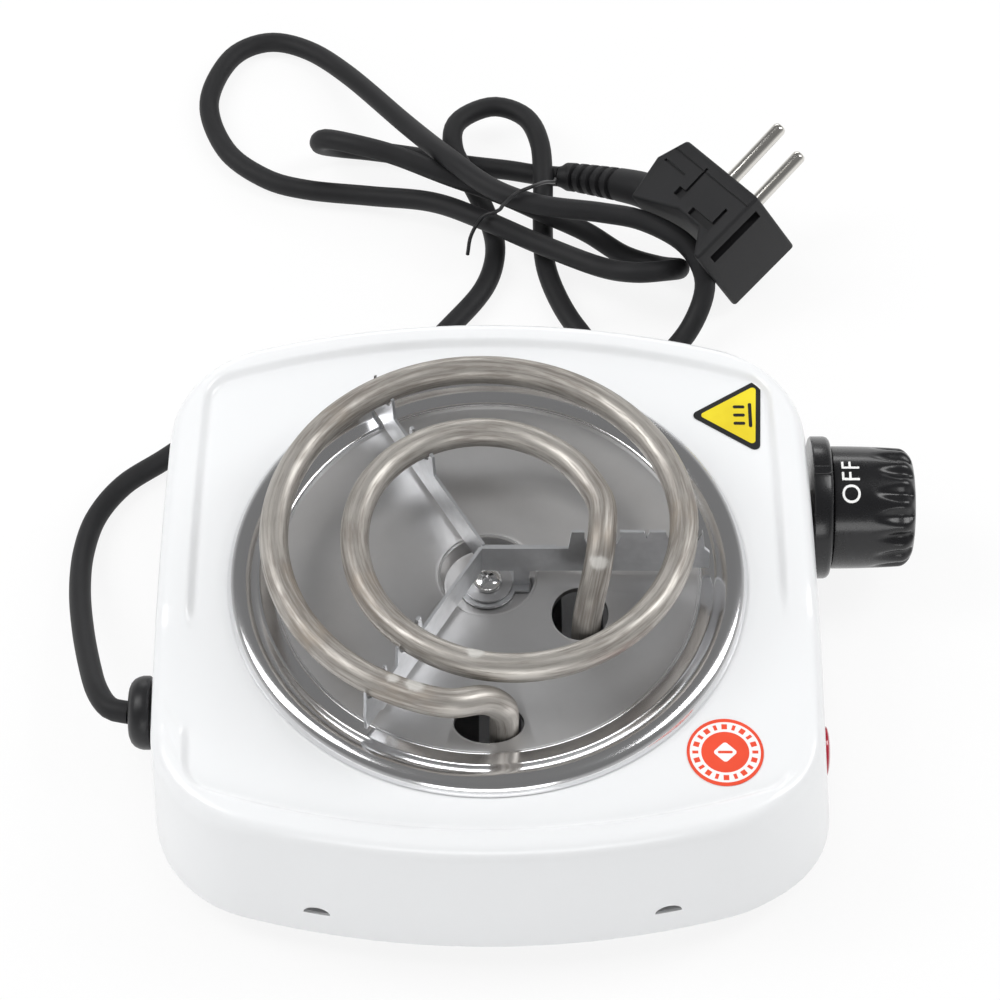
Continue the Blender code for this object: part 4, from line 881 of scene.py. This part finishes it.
def makeKnob():
    low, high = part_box("knob")
    start, end = low.x, high.x
    radius = knob["radius"] * mm

    def flutes(r, turn, x):
        along = (x - start) / (end - start)
        if r < radius * 0.8:
            return r
        grow = smoothStep(0.45, 0.80, along) * (1 - smoothStep(0.93, 0.99, along))
        wave = (0.5 + 0.5 * math.cos(knob["flutes"] * turn)) ** (3.2 - 1.9 * grow)
        return r - knob["depth"] * mm * grow * wave

    shape = [(0, end - 5 * mm), (3.3 * mm, end - 5 * mm), (3.3 * mm, start + 2 * mm),
             (7 * mm, start + 2 * mm), (7 * mm, start + 9 * mm), (radius - 2.5 * mm, start + 10 * mm),
             (radius - 2 * mm, start)]
    shape += [(radius - 0.5 * mm, start), (radius - 0.1 * mm, start + 0.25 * mm), (radius, start + 0.7 * mm)]
    bend, taper = knob["round"] * mm, knob["taper"] * mm
    run = end - start - 0.7 * mm - bend * 0.8
    for i in range(1, 33):
        share = i / 32
        shape.append((radius - taper * share ** 2, start + 0.7 * mm + run * share))
    for i in range(1, 11):
        turn = math.radians(90 * i / 10)
        shape.append((radius - taper - bend * (1 - math.cos(turn)), end - bend * 0.8 * (1 - math.sin(turn))))
    shape += [(radius - bend - 3 * mm, end), (radius - bend - 3.4 * mm, end - 0.3 * mm), (0, end - 0.3 * mm)]
    made = turnedX("turnKnob", shape, paints["knob"], knob["y"] * mm, knob["z"] * mm, 256, reach=flutes,
                   body="knob", slots="knob_black")
    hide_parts("knob")
    text = bpy.data.curves.new("knobWord", "FONT")
    text.body = "OFF"
    text.size = knob["letter"] * mm
    text.align_x = "CENTER"
    text.align_y = "CENTER"
    text.extrude = 0.05 * mm
    text.space_character = 1.12
    holder = bpy.data.objects.new("knobWordCurve", text)
    scene.collection.objects.link(holder)
    bpy.context.view_layer.update()
    data = bpy.data.meshes.new_from_object(holder.evaluated_get(bpy.context.evaluated_depsgraph_get()))
    bpy.data.objects.remove(holder)
    mesh = bmesh.new()
    mesh.from_mesh(data)
    for _ in range(2):
        bmesh.ops.subdivide_edges(mesh, edges=[e for e in mesh.edges if e.calc_length() > 0.6 * mm], cuts=1)
    bmesh.ops.triangulate(mesh, faces=mesh.faces)
    for v in mesh.verts:
        turn = math.radians(knob["letterTurn"]) - v.co.x / radius
        reach = radius + 0.05 * mm + v.co.z
        v.co = Vector((start + knob["letterAt"] * mm - v.co.y, knob["y"] * mm + reach * math.cos(turn),
                       knob["z"] * mm + reach * math.sin(turn)))
    link("knobWord", mesh, paints["whiteFilm"], body="knob", sharp=0, slots="knob_black")


def makeCollar():
    low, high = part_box("knob_collar")
    radius = knob["collar"] * mm
    back = low.x + 1.6 * mm
    shape = [(5.6 * mm, back), (radius - 0.4 * mm, back), (radius, back + 0.4 * mm),
             (radius, high.x - 1.6 * mm), (radius - 0.3 * mm, high.x - 0.7 * mm),
             (radius - 0.9 * mm, high.x - 0.15 * mm), (radius - 1.5 * mm, high.x),
             (5.6 * mm, high.x)]
    made = turnedX("knobCollar", shape, paints["knob"], knob["y"] * mm, knob["z"] * mm, 128, wrap=True,
                   slots="knob_black")
    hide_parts("knob_collar")
    rings = []
    for x in (back, high.x - 0.6 * mm):
        rings.append([Vector((x, (knob["y"] + r * math.cos(t)) * mm, (knob["z"] + r * math.sin(t)) * mm))
                      for r, t in ((20.3, 1.59), (20.3, 1.75), (21.4, 1.73), (21.4, 1.61))])
    skin("collarPointer", rings, paints["knob"], bevel=0.25 * mm, slots="knob_black")


def makeLamp():
    low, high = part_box("lamp_lens")
    face = high.x - 2.1 * mm
    dome = []
    for i in range(10):
        turn = math.radians(9 * i)
        dome.append((lamp["radius"] * math.cos(turn), 0.9 + 1.2 * math.sin(turn)))
    stem = lamp["stem"] * mm
    shape = [(0, low.x), (stem, low.x), (stem, face), (lamp["radius"] * mm, face)]
    shape += [(r * mm, face + x * mm) for r, x in dome] + [(0, high.x)]
    made = turnedX("lampLens", shape, paints["lens"], lamp["y"] * mm, lamp["z"] * mm, 64, slots="red_lens")
    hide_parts("lamp_lens")


def makeGland():
    low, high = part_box("cord_gland")
    out = low.x
    shape = [(3.7, 3.0), (4.2, 1.2), (4.5, 0.4), (5.0, 0.05), (5.6, 0.0), (7.2, 0.15), (8.5, 0.7),
             (9.5, 1.6), (10.1, 2.8), (10.4, 4.0), (10.4, 5.7), (10.2, 6.1), (9.8, 6.3), (8.0, 6.3),
             (8.0, 15.0), (3.7, 15.0)]
    profile = [(r * mm, out + x * mm) for r, x in shape]
    made = turnedX("cordGland", profile, paints["rubber"], gland["y"] * mm, gland["z"] * mm, 96, wrap=True,
                   slots="gland_rubber")
    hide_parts("cord_gland")


makeKnob()
makeCollar()
makeLamp()
makeGland()
print("knob, lamp and gland made")

# ---- stickers

sticker = {"corners": ((58.2, 56.8), (78.2, 43.0), (79.5, 70.6)), "round": (64.3, -58.4), "wide": 10.4,
           "long": 10.7}


def film(name, points, z, thick, paint, slot):
    rings = [[at(p[0], p[1], h) for p in points] for h in (z, z + thick)]
    return skin(name, rings, paint, sharp=20, slots=slot)


def roundedShape(corners, radius, count=8):
    shape = []
    for i, corner in enumerate(corners):
        here = Vector(corner)
        before = (Vector(corners[i - 1]) - here).normalized()
        after = (Vector(corners[(i + 1) % len(corners)]) - here).normalized()
        half = before.angle(after) / 2
        centre = here + (before + after).normalized() * (radius / math.sin(half))
        first = here + before * (radius / math.tan(half)) - centre
        last = here + after * (radius / math.tan(half)) - centre
        sweep = first.angle_signed(last)
        for k in range(count + 1):
            turn = -sweep * k / count
            shape.append(centre + Vector((first.x * math.cos(turn) - first.y * math.sin(turn),
                                          first.x * math.sin(turn) + first.y * math.cos(turn))))
    return shape


def makeStickers():
    z = shell["panel"] + 0.1
    tip, lower, upper = sticker["corners"]
    middle = (Vector(tip) + Vector(lower) + Vector(upper)) / 3
    corners = [tip, lower, upper]
    card = film("cautionCard", roundedShape(corners, 1.6), z, 0.12, paints["blackFilm"], "yellow_label")
    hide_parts("triangle_label")
    inner = [middle + (Vector(c) - middle) * 0.80 for c in corners]
    film("cautionFace", roundedShape(inner, 1.0), z + 0.12, 0.05, paints["yellow"], "yellow_label")
    for i in range(3):  # plain bars, no sign
        y = middle.y - 3.0 + 3.0 * i
        bar = roundedShape(rectangle(middle.x - 1.0, y - 0.55, middle.x + 2.4, y + 0.55), 0.5)
        film(f"cautionBar{i + 1}", bar, z + 0.17, 0.04, paints["blackFilm"], "yellow_label")
    line = roundedShape(rectangle(middle.x + 3.4, middle.y - 4.4, middle.x + 4.4, middle.y + 4.4), 0.45)
    film("cautionLine", line, z + 0.17, 0.04, paints["blackFilm"], "yellow_label")
    x, y = sticker["round"]
    disc = []
    for k in range(96):
        turn = 2 * math.pi * k / 96
        disc.append((x + sticker["wide"] * math.cos(turn), y + sticker["long"] * math.sin(turn)))
    base = film("roundCard", disc, z, 0.10, paints["red"], "red_label")
    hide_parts("round_label")
    band = rectangle(6.5, z + 0.10, 9.6, z + 0.14)
    turned("roundBand", band, paints["whiteFilm"], at(x, y, 0), 96, wrap=True, slots="red_label")
    for k in range(20):  # plain dashes round the band
        turn = 2 * math.pi * k / 20
        along = Vector((math.cos(turn), math.sin(turn)))
        across = Vector((-along.y, along.x))
        centre = Vector((x, y)) + along * 8.1
        wide = 0.75 if k % 2 else 0.45
        dash = [centre + along * a + across * b for a, b in rectangle(-0.8, -wide, 0.8, wide)]
        film(f"roundDash{k + 1}", dash, z + 0.14, 0.03, paints["red"], "red_label")
    mark = roundedShape([(x - 3.4, y), (x, y - 3.4), (x + 3.4, y), (x, y + 3.4)], 0.9)
    film("roundMark", mark, z + 0.10, 0.04, paints["whiteFilm"], "red_label")
    bar = roundedShape(rectangle(x - 2.0, y - 0.4, x + 2.0, y + 0.4), 0.35)
    film("roundMarkBar", bar, z + 0.14, 0.03, paints["red"], "red_label")


makeStickers()
print("stickers made")

# ---- finishes of the pieces that the frame brings

kept = {
    "steel": ["centre_washer", "centre_nut", "cover_screw_1", "cover_screw_2", "thermostat_screw_1",
              "thermostat_screw_2", "thermostat_spindle", "element_pin_1", "element_pin_2", "earth_screw",
              "bottom_cover"],
    "zinc": ["coil_support_main", "coil_support_rear", "clamp_bridge", "thermostat_bracket"],
    "ceramic": ["thermostat_base", "thermostat_pin", "terminal_block", "element_bead_1", "element_bead_2"],
    "brass": ["thermostat_arm", "thermostat_terminal_1", "thermostat_terminal_2", "earth_tag",
              "terminal_screw_1", "terminal_screw_2", "terminal_screw_3", "terminal_screw_4"],
    "rubber": ["foot_front_left", "foot_front_right", "foot_rear_left", "foot_rear_right"],
    "brown": ["core_live", "lead_live", "lead_neutral"],
    "blue": ["core_neutral"], "green": ["core_earth"], "white": ["lead_thermostat"], "amber": ["lamp_body"],
}
for paintName, nodes in kept.items():
    for node in nodes:
        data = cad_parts[node].data
        data.materials.clear()
        data.materials.append(paints[paintName])
print("kept pieces finished")
